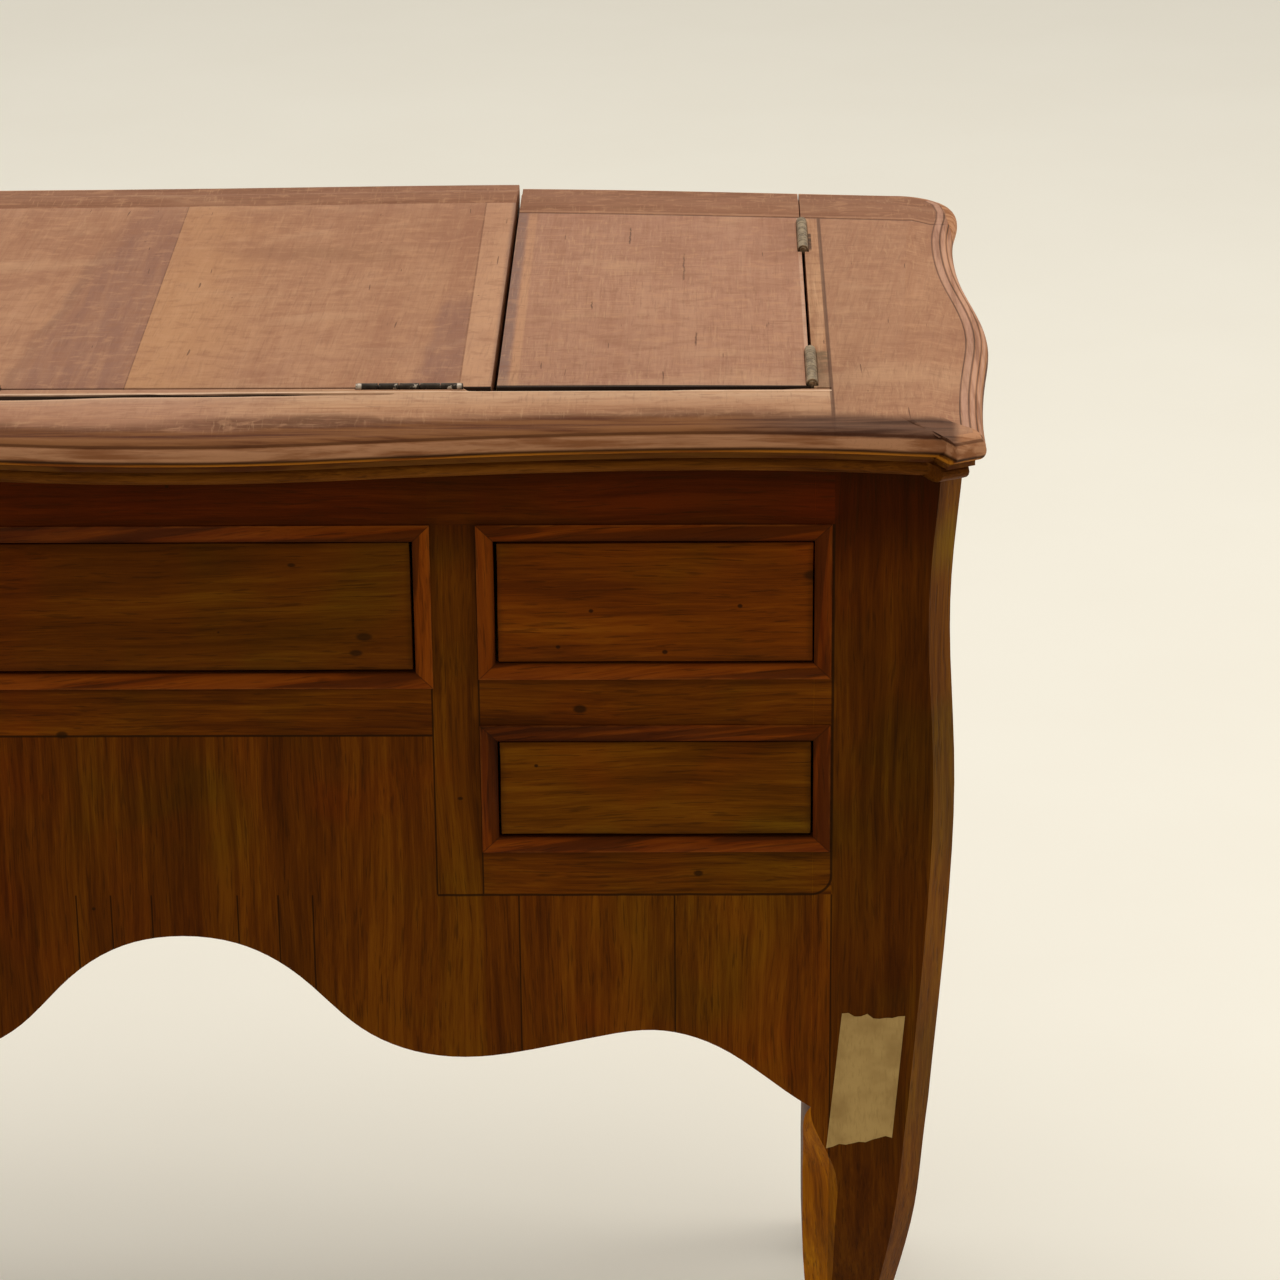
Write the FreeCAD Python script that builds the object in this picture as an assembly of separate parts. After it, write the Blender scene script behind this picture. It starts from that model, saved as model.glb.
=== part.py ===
"""Dressing table: a walnut case on cabriole legs, five drawers, and a top in three lift-up lids.

Row frame, in millimetres: the origin is on the floor under the middle of the table, +X runs to the
right and +Z up. The hinge side, where the centre lid turns, faces -Y. The sitter's side, where the
mirror under that lid looks when it is open, faces +Y. Left and right are as seen from the hinge side.
"""

import math
import os

import FreeCAD
import Part

Vector = FreeCAD.Vector

# Widths across the front, from the middle outwards
centre_opening_half_width = 136.0
stile_width = 46.4
side_opening_width = 185.2
post_width = 83.0
side_overhang = 23.0

# Depths
case_half_depth = 209.0
face_board = 20.0
post_depth = 75.0
edge_overhang = 41.0
hinge_rail_depth = 86.0
centre_lipping_depth = 57.0
side_lipping_depth = 70.0

# Heights, from the top down
table_height = 760.0
top_thickness = 22.0
bead_height = 10.0
top_rail_height = 55.5
centre_opening_height = 82.0
centre_rail_height = 40.0
upper_opening_height = 76.5
middle_rail_height = 49.0
lower_opening_height = 62.0
bottom_rail_height = 38.0
knee_arch_drop = 27.0
apron_depth = 116.0
arch_shift = -8.0

# Clearances
cut_overrun = 1.0
drawer_gap = 1.2
running_gap = 0.3
glue_gap = 0.1
lid_gap = 2.0
end_strip_gap = 0.7

# Places that follow from those sizes
stile_outer_x = centre_opening_half_width + stile_width
post_inner_x = stile_outer_x + side_opening_width
leg_outer_x = post_inner_x + post_width
top_half_width = leg_outer_x + side_overhang
post_inner_y = case_half_depth - post_depth
frame_inner_y = case_half_depth - face_board
top_half_depth = case_half_depth + edge_overhang
hinge_line_y = hinge_rail_depth - top_half_depth
top_under_z = table_height - top_thickness
bead_under_z = top_under_z - bead_height
opening_top_z = top_under_z - top_rail_height
centre_opening_z = opening_top_z - centre_opening_height
centre_rail_z = centre_opening_z - centre_rail_height
upper_opening_z = opening_top_z - upper_opening_height
lower_top_z = upper_opening_z - middle_rail_height
lower_opening_z = lower_top_z - lower_opening_height
bottom_rail_z = lower_opening_z - bottom_rail_height
arch_peak_z = bottom_rail_z - knee_arch_drop
apron_end_z = arch_peak_z - apron_depth
knee_z = apron_end_z

# Outline of the top, as shares of its half width and half depth
hinge_edge_shares = (
    (0.0, -1.0), (0.12, -0.992), (0.29, -0.957), (0.47, -0.925),
    (0.66, -0.911), (0.86, -0.932), (0.928, -0.950),
)
corner_lobe_shares = ((0.943, -0.998), (0.977, -0.966), (0.977, -0.90))
field_corner_shares = ((0.943, -0.950), (0.967, -0.944), (0.977, -0.90))
side_edge_shares = (
    (0.977, -0.90), (0.979, -0.76), (0.990, -0.50), (1.0, -0.28), (0.993, -0.04), (0.981, 0.15),
    (0.975, 0.40), (0.981, 0.60), (0.989, 0.74), (0.978, 0.84), (0.950, 0.895), (0.915, 0.913),
)
sitter_edge_shares = ((0.915, 0.913), (0.75, 0.942), (0.55, 0.975), (0.39, 0.992), (0.0, 1.0))

# Moulded edge of the top
nosing_height = 16.0
nosing_step = 3.0
quirk_inset = 11.0
slope_inset = 31.0
fillet_inset = 6.0
nosing_section_count = 7

# Bead under the top
bead_inset = 9.0
bead_seat_inset = 10.0
bead_section_count = 9

# Leg: the post above the knee, then the cabriole below it
post_cant = 13.0
arris = 0.8
tenon_length = 15.0
tenon_thickness = 8.0
tenon_height = 30.0
apron_tenon_height = 80.0
# Rows: share of the height from the knee to the top of the post, share of the post's width at its outer side
post_shares = (
    (0.0, 0.864), (0.09, 0.898), (0.17, 0.930), (0.31, 0.978), (0.47, 1.008), (0.62, 0.985),
    (0.78, 0.953), (0.90, 0.985), (1.0, 1.024),
)
# Rows: share of the knee's height, then the outer and inner sides as shares of the post, then the two
# cants, outside and inside, as shares of the post's cant
leg_shares = (
    (1.000, 0.864, 1.000, 0.000, 1.00, 0.01),
    (0.970, 0.852, 1.000, -0.046, 1.00, 0.36),
    (0.910, 0.831, 0.998, -0.052, 1.00, 1.00),
    (0.830, 0.807, 0.990, -0.052, 1.00, 1.60),
    (0.735, 0.765, 0.965, -0.050, 1.00, 1.50),
    (0.640, 0.695, 0.905, -0.046, 0.92, 1.42),
    (0.527, 0.598, 0.815, -0.015, 0.82, 1.10),
    (0.383, 0.505, 0.715, 0.050, 0.68, 0.80),
    (0.256, 0.508, 0.715, 0.110, 0.66, 0.70),
    (0.128, 0.610, 0.800, 0.205, 0.74, 0.76),
    (0.045, 0.700, 0.875, 0.258, 0.80, 0.80),
    (0.000, 0.705, 0.880, 0.262, 0.80, 0.80),
)

# Scalloped lower edges: shares of the half span and of the drop from the arch's peak to the leg
apron_curve_shares = (
    (0.0, 0.0), (0.095, 0.05), (0.190, 0.24), (0.284, 0.535), (0.373, 0.672), (0.468, 0.701),
    (0.565, 0.654), (0.662, 0.585), (0.755, 0.547), (0.852, 0.641), (0.944, 0.863), (1.0, 1.0),
)
side_curve_shares = ((0.0, 0.03), (0.32, 0.15), (0.60, 0.48), (0.80, 0.76), (1.0, 1.0))

# Side panels
side_panel_thickness = 18.0
side_panel_inset = 8.0
side_panel_bow = 9.0

# Bands round the drawer openings
band_width = 10.0
band_relief = 0.8

# Inside of the case
partition_thickness = 16.0
well_floor_thickness = 6.0
well_floor_drop = 45.0
well_wall_thickness = 10.0
divider_thickness = 18.0
runner_height = 12.0
runner_ledge = 14.0
guide_height = 12.0

# Drawers
drawer_front_thickness = 18.0
drawer_side_thickness = 9.0
drawer_side_drop = 8.0
drawer_bottom_thickness = 5.0
drawer_bottom_rise = 6.0
groove_depth = 4.0

# Turned knob, as drawn from the drawer's face outwards
knob_base_radius = 9.0
knob_base_thickness = 2.0
knob_neck_radius = 3.5
knob_neck_length = 7.0
knob_head_radius = 9.5
knob_head_length = 10.0
knob_tip_radius = 2.5
knob_stem_radius = 2.5
knob_stem_length = 12.0
centre_knob_spacing = 150.0

# Hinges
hinge_length = 60.0
hinge_rise = 0.5
centre_knuckle_radius = 2.4
side_knuckle_radius = 3.4
knuckle_count = 5
knuckle_gap = 0.3
pin_radius = 1.3
pin_play = 0.05
pin_head_radius = 2.2
pin_head_thickness = 1.0
leaf_thickness = 1.6
leaf_height = 18.0
leaf_face_gap = 0.3
screw_head_radius = 2.6
screw_head_height = 0.8
screw_radius = 1.4
screw_length = 12.0
screw_play = 0.2
screw_drop = 10.0
screw_margin = 10.0
screw_count = 3
centre_hinge_x = 134.0
side_hinge_near_margin = 3.0
side_hinge_far_margin = 55.0

# Mirror under the centre lid
mirror_margin_x = 30.0
mirror_margin_hinge = 28.0
mirror_margin_sitter = 40.0
mirror_frame_width = 26.0
mirror_frame_thickness = 12.0
mirror_thickness = 3.0
mirror_lip = 6.0
mirror_back_thickness = 2.0

partition_x = centre_opening_half_width + stile_width / 2
lid_joint_x = stile_outer_x + lid_gap / 2
side_hinge_x = post_inner_x - lid_gap / 2
side_hinge_near_y = hinge_line_y + side_hinge_near_margin + hinge_length / 2
side_hinge_far_y = case_half_depth - side_hinge_far_margin - hinge_length / 2
side_board_x = post_inner_x + well_wall_thickness
well_floor_top_z = top_under_z - well_floor_drop
well_floor_z = well_floor_top_z - well_floor_thickness
bead_seat_x = leg_outer_x - bead_seat_inset
hinge_axis_z = table_height + hinge_rise
partition_z = lower_opening_z - runner_height


def box(x0, x1, y0, y1, z0, z1):
    """A block between two corners, whichever way round they are given."""
    low = Vector(min(x0, x1), min(y0, y1), min(z0, z1))
    return Part.makeBox(abs(x1 - x0), abs(y1 - y0), abs(z1 - z0), low)


def flip_x(shape):
    return shape.mirror(Vector(), Vector(1, 0, 0))


def flip_y(shape):
    return shape.mirror(Vector(), Vector(0, 1, 0))


def spline(points):
    curve = Part.BSplineCurve()
    curve.interpolate(points)
    return curve.toShape()


def polygon_face(points):
    return Part.Face(Part.makePolygon([*points, points[0]]))


def export(name, *shapes):
    """Writes one node from its separate solids."""
    solids = [solid for shape in shapes for solid in shape.Solids]
    whole = solids[0] if len(solids) == 1 else Part.makeCompound(solids)
    whole.exportStep(os.path.join("parts", name + ".step"))


# The top
def outline(inset, z, corner_shares=corner_lobe_shares):
    """The top's outline, drawn in by an inset, as one closed wire at height z."""
    half_width = top_half_width - inset
    half_depth = top_half_depth - inset

    def place(share, side=1):
        return Vector(side * share[0] * half_width, share[1] * half_depth, z)

    def edge(shares, side=1):
        return spline([place(s, side) for s in shares])

    corner = (hinge_edge_shares[-1], *corner_shares)
    near = [place(s, -1) for s in hinge_edge_shares[:0:-1]] + [place(s) for s in hinge_edge_shares]
    far = [place(s) for s in sitter_edge_shares] + [place(s, -1) for s in sitter_edge_shares[-2::-1]]
    right_corner = [Part.makeLine(place(a), place(b)) for a, b in zip(corner, corner[1:])]
    left_corner = [Part.makeLine(place(b, -1), place(a, -1)) for a, b in zip(corner, corner[1:])]
    edges = [spline(near), *right_corner, edge(side_edge_shares), spline(far)]
    edges += [edge(side_edge_shares[::-1], -1), *left_corner[::-1]]
    return Part.Wire(edges)


def slab(inset, z0, z1):
    return Part.Face(outline(inset, z0)).extrude(Vector(0, 0, z1 - z0))


def round_nosing(inset, z0, z1, section_count, ruled):
    """A slab whose edge is a half round, standing out to the inset, smooth or ruled between its levels."""
    radius = (z1 - z0) / 2
    angles = [math.pi * (k / (section_count - 1) - 1 / 2) for k in range(section_count)]
    wires = [
        outline(inset + radius * (1 - math.cos(a)), z0 + radius * (1 + math.sin(a))) for a in angles
    ]
    return Part.makeLoft(wires, True, ruled)


def whole_top():
    """The top before it is cut into rail, boards and lids: fillet, half-round nosing and sloped field.

    The lobes at the corners fade out up the slope, so that the flat field has plain corners.
    """
    nosing_top_z = table_height - nosing_step
    nosing_z = nosing_top_z - nosing_height
    fillet = slab(fillet_inset, top_under_z, nosing_z + nosing_step)
    nosing = round_nosing(0, nosing_z, nosing_top_z, nosing_section_count, False)
    field_z = nosing_top_z - nosing_step / 2
    flat = outline(slope_inset, table_height, field_corner_shares)
    field = Part.makeLoft([outline(quirk_inset, field_z), flat], True, True)
    return fillet.fuse([nosing, field]).removeSplitter()


def lipping_zone(depth):
    """Everything beyond the inner line of a lipping, which keeps to the sitter's edge."""
    reach_y = top_half_depth + depth
    reach_x = top_half_width + side_overhang
    inner = [Vector(s[0] * top_half_width, s[1] * top_half_depth - depth) for s in sitter_edge_shares]
    first = inner[0]
    inner += [Vector(-p.x, p.y) for p in inner[-2::-1]]
    right = Vector(reach_x, first.y)
    left = Vector(-reach_x, first.y)
    corners = [left, Vector(-reach_x, reach_y), Vector(reach_x, reach_y), right]
    edges = [Part.makeLine(a, b) for a, b in zip(corners, corners[1:])]
    edges += [Part.makeLine(right, first), spline(inner), Part.makeLine(inner[-1], left)]
    face = Part.Face(Part.Wire(Part.__sortEdges__(edges)))
    face.translate(Vector(0, 0, top_under_z - cut_overrun))
    return face.extrude(Vector(0, 0, top_thickness + cut_overrun * 2))


def top_pieces(top):
    """The rail, boards, strips and lids that the top is sawn into."""
    centre_zone, side_zone = lipping_zone(centre_lipping_depth), lipping_zone(side_lipping_depth)
    reach_x = top_half_width + cut_overrun
    reach_y = top_half_depth + cut_overrun
    z0, z1 = top_under_z - cut_overrun, table_height + cut_overrun
    rail_y = hinge_line_y - lid_gap / 2
    lid_y = hinge_line_y + lid_gap / 2
    joint = lid_gap / 2
    rail = top.common(box(-side_board_x, side_board_x, -reach_y, rail_y, z0, z1))
    side = top.common(box(side_board_x, reach_x, -reach_y, reach_y, z0, z1)).cut(side_zone)
    strip_x = side_hinge_x - joint + end_strip_gap
    strip = top.common(box(strip_x, reach_x, lid_y, reach_y, z0, z1)).common(side_zone)
    wall_top = top.common(box(post_inner_x, side_board_x, rail_y, reach_y, z0, z1)).cut(side_zone)
    centre = top.common(box(joint - lid_joint_x, lid_joint_x - joint, lid_y, reach_y, z0, z1))
    flap = top.common(box(lid_joint_x + joint, side_hinge_x - joint, lid_y, reach_y, z0, z1))
    return {
        "rail": rail,
        "side": side,
        "strip": strip,
        "wall_top": wall_top,
        "centre_panel": centre.cut(centre_zone),
        "centre_lipping": centre.common(centre_zone),
        "flap_panel": flap.cut(side_zone),
        "flap_lipping": flap.common(side_zone),
    }


def bead_ring():
    """The half-round bead under the top, in four strips round the case."""
    ring = round_nosing(bead_inset, bead_under_z, top_under_z, bead_section_count, True)
    reach_x, reach_y = top_half_width + cut_overrun, top_half_depth + cut_overrun
    z0, z1 = bead_under_z - cut_overrun, top_under_z + cut_overrun
    long_strip = ring.common(box(-reach_x, reach_x, -reach_y, -case_half_depth, z0, z1))
    far_strip = ring.common(box(-reach_x, reach_x, case_half_depth, reach_y, z0, z1))
    end_strip = ring.common(box(bead_seat_x, reach_x, -case_half_depth, case_half_depth, z0, z1))
    return [long_strip, far_strip, end_strip, flip_x(end_strip)]


# The legs
def leg_section(z, out_x, out_y, inner, outer_cant, inner_cant):
    """One level of the right leg on the hinge side, as an eight-sided wire."""
    x0 = post_inner_x + inner * post_width
    x1 = post_inner_x + out_x * post_width
    y0 = -(post_inner_y + inner * post_depth)
    y1 = -(post_inner_y + out_y * post_depth)
    outside, inside = outer_cant * post_cant, inner_cant * post_cant
    points = [
        (x0 + inside, y1), (x1 - outside, y1), (x1, y1 + outside), (x1, y0 - inside),
        (x1 - inside, y0), (x0 + arris, y0), (x0, y0 - arris), (x0, y1 + inside),
    ]
    corners = [Vector(x, y, z) for x, y in points]
    return Part.makePolygon([*corners, corners[0]])


def tenon(x0, x1, z0, z1, play):
    """A tenon on the end of a face board, grown by the play for its mortise."""
    middle_y = -(case_half_depth - face_board / 2)
    half = tenon_thickness / 2 + play
    return box(x0, x1 + play, middle_y - half, middle_y + half, z0 - play, z1 + play)


def side_tenon(z0, z1, play):
    """A tenon on the hinge-side end of the right side panel."""
    middle_x = bead_seat_x - side_panel_thickness / 2 - side_panel_inset / 2
    half = tenon_thickness / 2 + play
    end_y = -(post_inner_y + tenon_length + play)
    return box(middle_x - half, middle_x + half, -post_inner_y, end_y, z0 - play, z1 + play)


def joint_heights():
    """Where the rails' and aprons' tenons stand, as pairs of heights."""
    rail_middle_z = (opening_top_z + bead_under_z) / 2
    apron_middle_z = (apron_end_z + bottom_rail_z) / 2
    rail = (rail_middle_z - tenon_height / 2, rail_middle_z + tenon_height / 2)
    apron = (apron_middle_z - apron_tenon_height / 2, apron_middle_z + apron_tenon_height / 2)
    return rail, apron


def leg():
    """The right leg on the hinge side: a cabriole leg that runs on up as the corner post."""
    rise = bead_under_z - knee_z
    knee_shares = leg_shares[0][2:]
    post = Part.makeLoft([leg_section(knee_z + s * rise, out, *knee_shares) for s, out in post_shares], True)
    lower = Part.makeLoft([leg_section(row[0] * knee_z, *row[1:]) for row in leg_shares[::-1]], True)
    head = box(post_inner_x, bead_seat_x, -post_inner_y, -case_half_depth, bead_under_z, top_under_z)
    whole = post.fuse([lower, head])
    for z0, z1 in joint_heights():
        whole = whole.cut(tenon(post_inner_x, post_inner_x + tenon_length, z0, z1, glue_gap))
        whole = whole.cut(side_tenon(z0, z1, glue_gap))
    return whole


# The case
def curve_cutter(shares, half_span, half_thickness, shift):
    """Cuts away what lies under a scalloped edge that spans X; its thickness runs along Y.

    The shift moves the middle of the edge along X and fades out towards its ends.
    """
    drop = arch_peak_z - apron_end_z
    points = []
    for side, rows in ((-1, shares[:0:-1]), (1, shares)):
        for s, d in rows:
            x = side * s * half_span + shift * (1 - s * s)
            points.append(Vector(x, 0, arch_peak_z - d * drop))
    edge = spline(points)
    floor = [Vector(half_span, 0, 0), Vector(-half_span, 0, 0)]
    sides = [Part.makeLine(points[-1], floor[0]), Part.makeLine(*floor), Part.makeLine(floor[1], points[0])]
    face = Part.Face(Part.Wire([edge, *sides]))
    face.translate(Vector(0, -half_thickness, 0))
    return face.extrude(Vector(0, half_thickness * 2, 0))


def apron():
    """The scalloped board on the hinge side, stepped up under the centre drawer."""
    board_y = -frame_inner_y
    wide = box(-post_inner_x, post_inner_x, board_y, -case_half_depth, apron_end_z, bottom_rail_z)
    tongue = box(
        -centre_opening_half_width, centre_opening_half_width, board_y, -case_half_depth, bottom_rail_z,
        centre_rail_z,
    )
    cutter = curve_cutter(apron_curve_shares, post_inner_x, case_half_depth + cut_overrun, arch_shift)
    board = wide.cut(cutter).fuse(tongue).removeSplitter()
    z0, z1 = joint_heights()[1]
    right = tenon(post_inner_x, post_inner_x + tenon_length, z0, z1, 0)
    return board.fuse([right, flip_x(right)])


def top_rail():
    rail = box(-post_inner_x, post_inner_x, -frame_inner_y, -case_half_depth, opening_top_z, top_under_z)
    z0, z1 = joint_heights()[0]
    right = tenon(post_inner_x, post_inner_x + tenon_length, z0, z1, 0)
    return rail.fuse([right, flip_x(right)])


def face_piece(x0, x1, z0, z1):
    return box(x0, x1, -frame_inner_y, -case_half_depth, z0, z1)


def stiles():
    right = face_piece(centre_opening_half_width, stile_outer_x, bottom_rail_z, opening_top_z)
    return [right, flip_x(right)]


def drawer_rails():
    half_width = centre_opening_half_width
    centre = face_piece(-half_width, half_width, centre_rail_z, centre_opening_z)
    middle = face_piece(stile_outer_x, post_inner_x, lower_top_z, upper_opening_z)
    bottom = face_piece(stile_outer_x, post_inner_x, bottom_rail_z, lower_opening_z)
    return [centre, middle, flip_x(middle), bottom, flip_x(bottom)]


def side_panel():
    """The right side: a bowed board between the posts, with its own scalloped edge."""
    outer_x = bead_seat_x - side_panel_inset / 2
    inner_x = outer_x - side_panel_thickness
    ends = [Vector(outer_x, -post_inner_y), Vector(outer_x, post_inner_y)]
    bow = Part.Arc(ends[0], Vector(outer_x + side_panel_bow, 0), ends[1]).toShape()
    back = [Vector(inner_x, post_inner_y), Vector(inner_x, -post_inner_y)]
    sides = [Part.makeLine(ends[1], back[0]), Part.makeLine(*back), Part.makeLine(back[1], ends[0])]
    face = Part.Face(Part.Wire([bow, *sides]))
    face.translate(Vector(0, 0, apron_end_z))
    board = face.extrude(Vector(0, 0, top_under_z - apron_end_z))
    cutter = curve_cutter(side_curve_shares, post_inner_y, leg_outer_x + side_panel_bow, 0)
    cutter.rotate(Vector(), Vector(0, 0, 1), 90)
    board = board.cut(cutter)
    rebate_x = leg_outer_x + side_panel_bow
    rebate = box(bead_seat_x, rebate_x, -post_inner_y, post_inner_y, bead_under_z, top_under_z)
    board = board.cut(rebate)
    tenons = [side_tenon(z0, z1, 0) for z0, z1 in joint_heights()]
    return board.fuse(tenons + [flip_y(t) for t in tenons])


def openings():
    """Each drawer opening as name, then its two sides and its two heights."""
    left, right = -post_inner_x, post_inner_x
    return {
        "centre": (-centre_opening_half_width, centre_opening_half_width, centre_opening_z, opening_top_z),
        "upper_right": (stile_outer_x, right, upper_opening_z, opening_top_z),
        "upper_left": (left, -stile_outer_x, upper_opening_z, opening_top_z),
        "lower_right": (stile_outer_x, right, lower_opening_z, lower_top_z),
        "lower_left": (left, -stile_outer_x, lower_opening_z, lower_top_z),
    }


def mitred_strips(u0, u1, v0, v1, width):
    """Four mitred strips round a rectangle, as corner points in two directions."""
    inner = [(u0, v0), (u1, v0), (u1, v1), (u0, v1)]
    left, right, low, high = u0 - width, u1 + width, v0 - width, v1 + width
    outer = [(left, low), (right, low), (right, high), (left, high)]
    return [(inner[k], inner[(k + 1) % 4], outer[(k + 1) % 4], outer[k]) for k in range(4)]


def bands():
    """The cross-grained bands round the openings of the hinge side."""
    strips = []
    for x0, x1, z0, z1 in openings().values():
        for corners in mitred_strips(x0, x1, z0, z1, band_width):
            face = polygon_face([Vector(u, -case_half_depth, v) for u, v in corners])
            strips.append(face.extrude(Vector(0, -band_relief, 0)))
    return strips


def partitions():
    x0, x1 = partition_x - partition_thickness / 2, partition_x + partition_thickness / 2
    right = box(x0, x1, -frame_inner_y, frame_inner_y, partition_z, well_floor_z)
    return [right, flip_x(right)]


def runner(x_wall, direction, drawer_x, z):
    """A runner along Y: a ledge under the drawer's side and a guide beside it, on a wall at x_wall."""
    ledge_x = drawer_x + direction * runner_ledge
    top_z = z + drawer_gap - running_gap
    ledge = box(x_wall, ledge_x, -frame_inner_y, frame_inner_y, z - runner_height, top_z)
    guide_x = drawer_x - direction * running_gap
    if abs(guide_x - x_wall) < drawer_gap:
        return ledge
    guide = box(x_wall, guide_x, -frame_inner_y, frame_inner_y, top_z, top_z + guide_height)
    return ledge.fuse(guide).removeSplitter()


def runners(level):
    """The runners of one level, centre, upper or lower, both sides of each drawer."""
    half = partition_thickness / 2
    if level == "centre":
        side_x = centre_opening_half_width - drawer_gap
        right = runner(partition_x - half, -1, side_x, centre_opening_z)
        return [right, flip_x(right)]
    z = upper_opening_z if level == "upper" else lower_opening_z
    inner = runner(partition_x + half, 1, stile_outer_x + drawer_gap, z)
    outer = runner(post_inner_x, -1, post_inner_x - drawer_gap, z)
    return [inner, outer, flip_x(inner), flip_x(outer)]


def well_floor():
    return box(-post_inner_x, post_inner_x, -frame_inner_y, frame_inner_y, well_floor_z, well_floor_top_z)


def well_wall(wall_top):
    """The wall outside the right lid: a board between the posts that comes up level with the top."""
    board = box(post_inner_x, side_board_x, -post_inner_y, post_inner_y, well_floor_z, top_under_z)
    return board.fuse(wall_top).removeSplitter()


def well_divider():
    half = divider_thickness / 2
    return box(
        lid_joint_x - half, lid_joint_x + half, -frame_inner_y, frame_inner_y, well_floor_top_z, top_under_z
    )


# Drawers
def drawer(x0, x1, z0, z1):
    """One drawer that runs right through the case: a front at each end, two sides and a bottom."""
    front_y = case_half_depth - drawer_front_thickness
    side_x0, side_x1 = x0 + drawer_gap, x1 - drawer_gap
    side_z0, side_z1 = z0 + drawer_gap, z1 - drawer_side_drop
    front = box(side_x0, side_x1, -front_y, -case_half_depth, side_z0, z1 - drawer_gap)
    left = box(side_x0, side_x0 + drawer_side_thickness, -front_y, front_y, side_z0, side_z1)
    right = box(side_x1 - drawer_side_thickness, side_x1, -front_y, front_y, side_z0, side_z1)
    bottom_z = side_z0 + drawer_bottom_rise
    reach = drawer_side_thickness - groove_depth
    bottom = box(
        side_x0 + reach, side_x1 - reach, -front_y, front_y, bottom_z, bottom_z + drawer_bottom_thickness
    )
    return {
        "hinge_side_front": [front],
        "sitter_side_front": [flip_y(front)],
        "box": [left.cut(bottom), right.cut(bottom), bottom],
    }


def knob(x, z):
    """A turned knob on the sitter's side, with the stem that holds it in the drawer's front."""
    face_y = case_half_depth
    neck_y = knob_base_thickness
    head_y = neck_y + knob_neck_length
    end_y = head_y + knob_head_length
    widest = Vector(knob_head_radius, head_y + knob_head_length / 2)
    outer = [
        Vector(0, -knob_stem_length),
        Vector(knob_stem_radius, -knob_stem_length),
        Vector(knob_stem_radius, 0),
        Vector(knob_base_radius, 0),
        Vector(knob_base_radius, neck_y),
        Vector(knob_neck_radius, neck_y),
        Vector(knob_neck_radius, head_y),
    ]
    tip = [Vector(knob_tip_radius, end_y), Vector(0, end_y)]
    profile = [Part.makeLine(a, b) for a, b in zip(outer, outer[1:])]
    profile.append(Part.Arc(outer[-1], widest, tip[0]).toShape())
    profile += [Part.makeLine(*tip), Part.makeLine(tip[1], outer[0])]
    solid = Part.Face(Part.Wire(profile)).revolve(Vector(), Vector(0, 1, 0), 360)
    solid.translate(Vector(x, face_y, z))
    return solid


def knob_hole(x, z):
    radius, length = knob_stem_radius + glue_gap, knob_stem_length + glue_gap
    return Part.makeCylinder(radius, length, Vector(x, case_half_depth, z), Vector(0, -1, 0))


# Hinges
def cylinder_x(radius, x0, x1, y=0.0, z=0.0):
    return Part.makeCylinder(radius, x1 - x0, Vector(x0, y, z), Vector(1, 0, 0))


def screw(x, side, grow=0.0):
    """A countersunk-style screw through a leaf into the wood on one side, in the hinge's own frame."""
    face_y = side * leaf_face_gap
    head = Part.makeCylinder(
        screw_head_radius + grow, screw_head_height + grow, Vector(x, face_y, -screw_drop), Vector(0, side, 0)
    )
    shank = Part.makeCylinder(
        screw_radius + grow, screw_length + grow, Vector(x, face_y, -screw_drop), Vector(0, side, 0)
    )
    return head.fuse(shank)


def screw_places():
    run = hinge_length - screw_margin * 2
    return [screw_margin + run * k / (screw_count - 1) for k in range(screw_count)]


def leaf(side, radius):
    """One leaf with its share of the knuckles. The fixed leaf is on side -1, the lid's leaf on side 1."""
    pitch = hinge_length / knuckle_count
    first = 0 if side < 0 else 1
    y0 = side * leaf_face_gap
    y1 = side * (leaf_face_gap + leaf_thickness)
    low_z = -leaf_height - hinge_rise
    shoulder_z = -radius - running_gap
    plate = box(0, hinge_length, y0, y1, low_z, shoulder_z)
    pieces = []
    for k in range(first, knuckle_count, 2):
        start = k * pitch + (knuckle_gap if k else 0)
        end = (k + 1) * pitch - (knuckle_gap if k + 1 < knuckle_count else 0)
        pieces.append(cylinder_x(radius, start, end))
        pieces.append(box(start, end, y0, y1, shoulder_z, -radius / 2))
    whole = plate.fuse(pieces)
    whole = whole.cut(cylinder_x(pin_radius + pin_play, -cut_overrun, hinge_length + cut_overrun))
    for x in screw_places():
        whole = whole.cut(screw(x, side, screw_play))
    return whole.removeSplitter()


def hinge_pin():
    shaft = cylinder_x(pin_radius, 0, hinge_length)
    left = cylinder_x(pin_head_radius, -pin_head_thickness, 0)
    right = cylinder_x(pin_head_radius, hinge_length, hinge_length + pin_head_thickness)
    return shaft.fuse([left, right])


def hinge_recess(radius):
    """What the wood on both sides of the joint loses to a hinge: a groove, leaf beds and screw holes."""
    end = pin_head_thickness + running_gap
    groove = cylinder_x(radius + running_gap, -end, hinge_length + end)
    bed = leaf_face_gap + leaf_thickness + glue_gap
    low_z = -leaf_height - hinge_rise - glue_gap
    leaves = box(-glue_gap, hinge_length + glue_gap, -bed, bed, low_z, 0)
    holes = [screw(x, side, screw_play) for x in screw_places() for side in (-1, 1)]
    return groove.fuse([leaves, *holes])


def place_hinge(shape, x, y, turn):
    """Moves a hinge from its own frame, centred on its length, to a place and direction on the top."""
    placed = shape.copy()
    placed.translate(Vector(-hinge_length / 2, 0, 0))
    placed.rotate(Vector(), Vector(0, 0, 1), turn)
    placed.translate(Vector(x, y, hinge_axis_z))
    return placed


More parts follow.
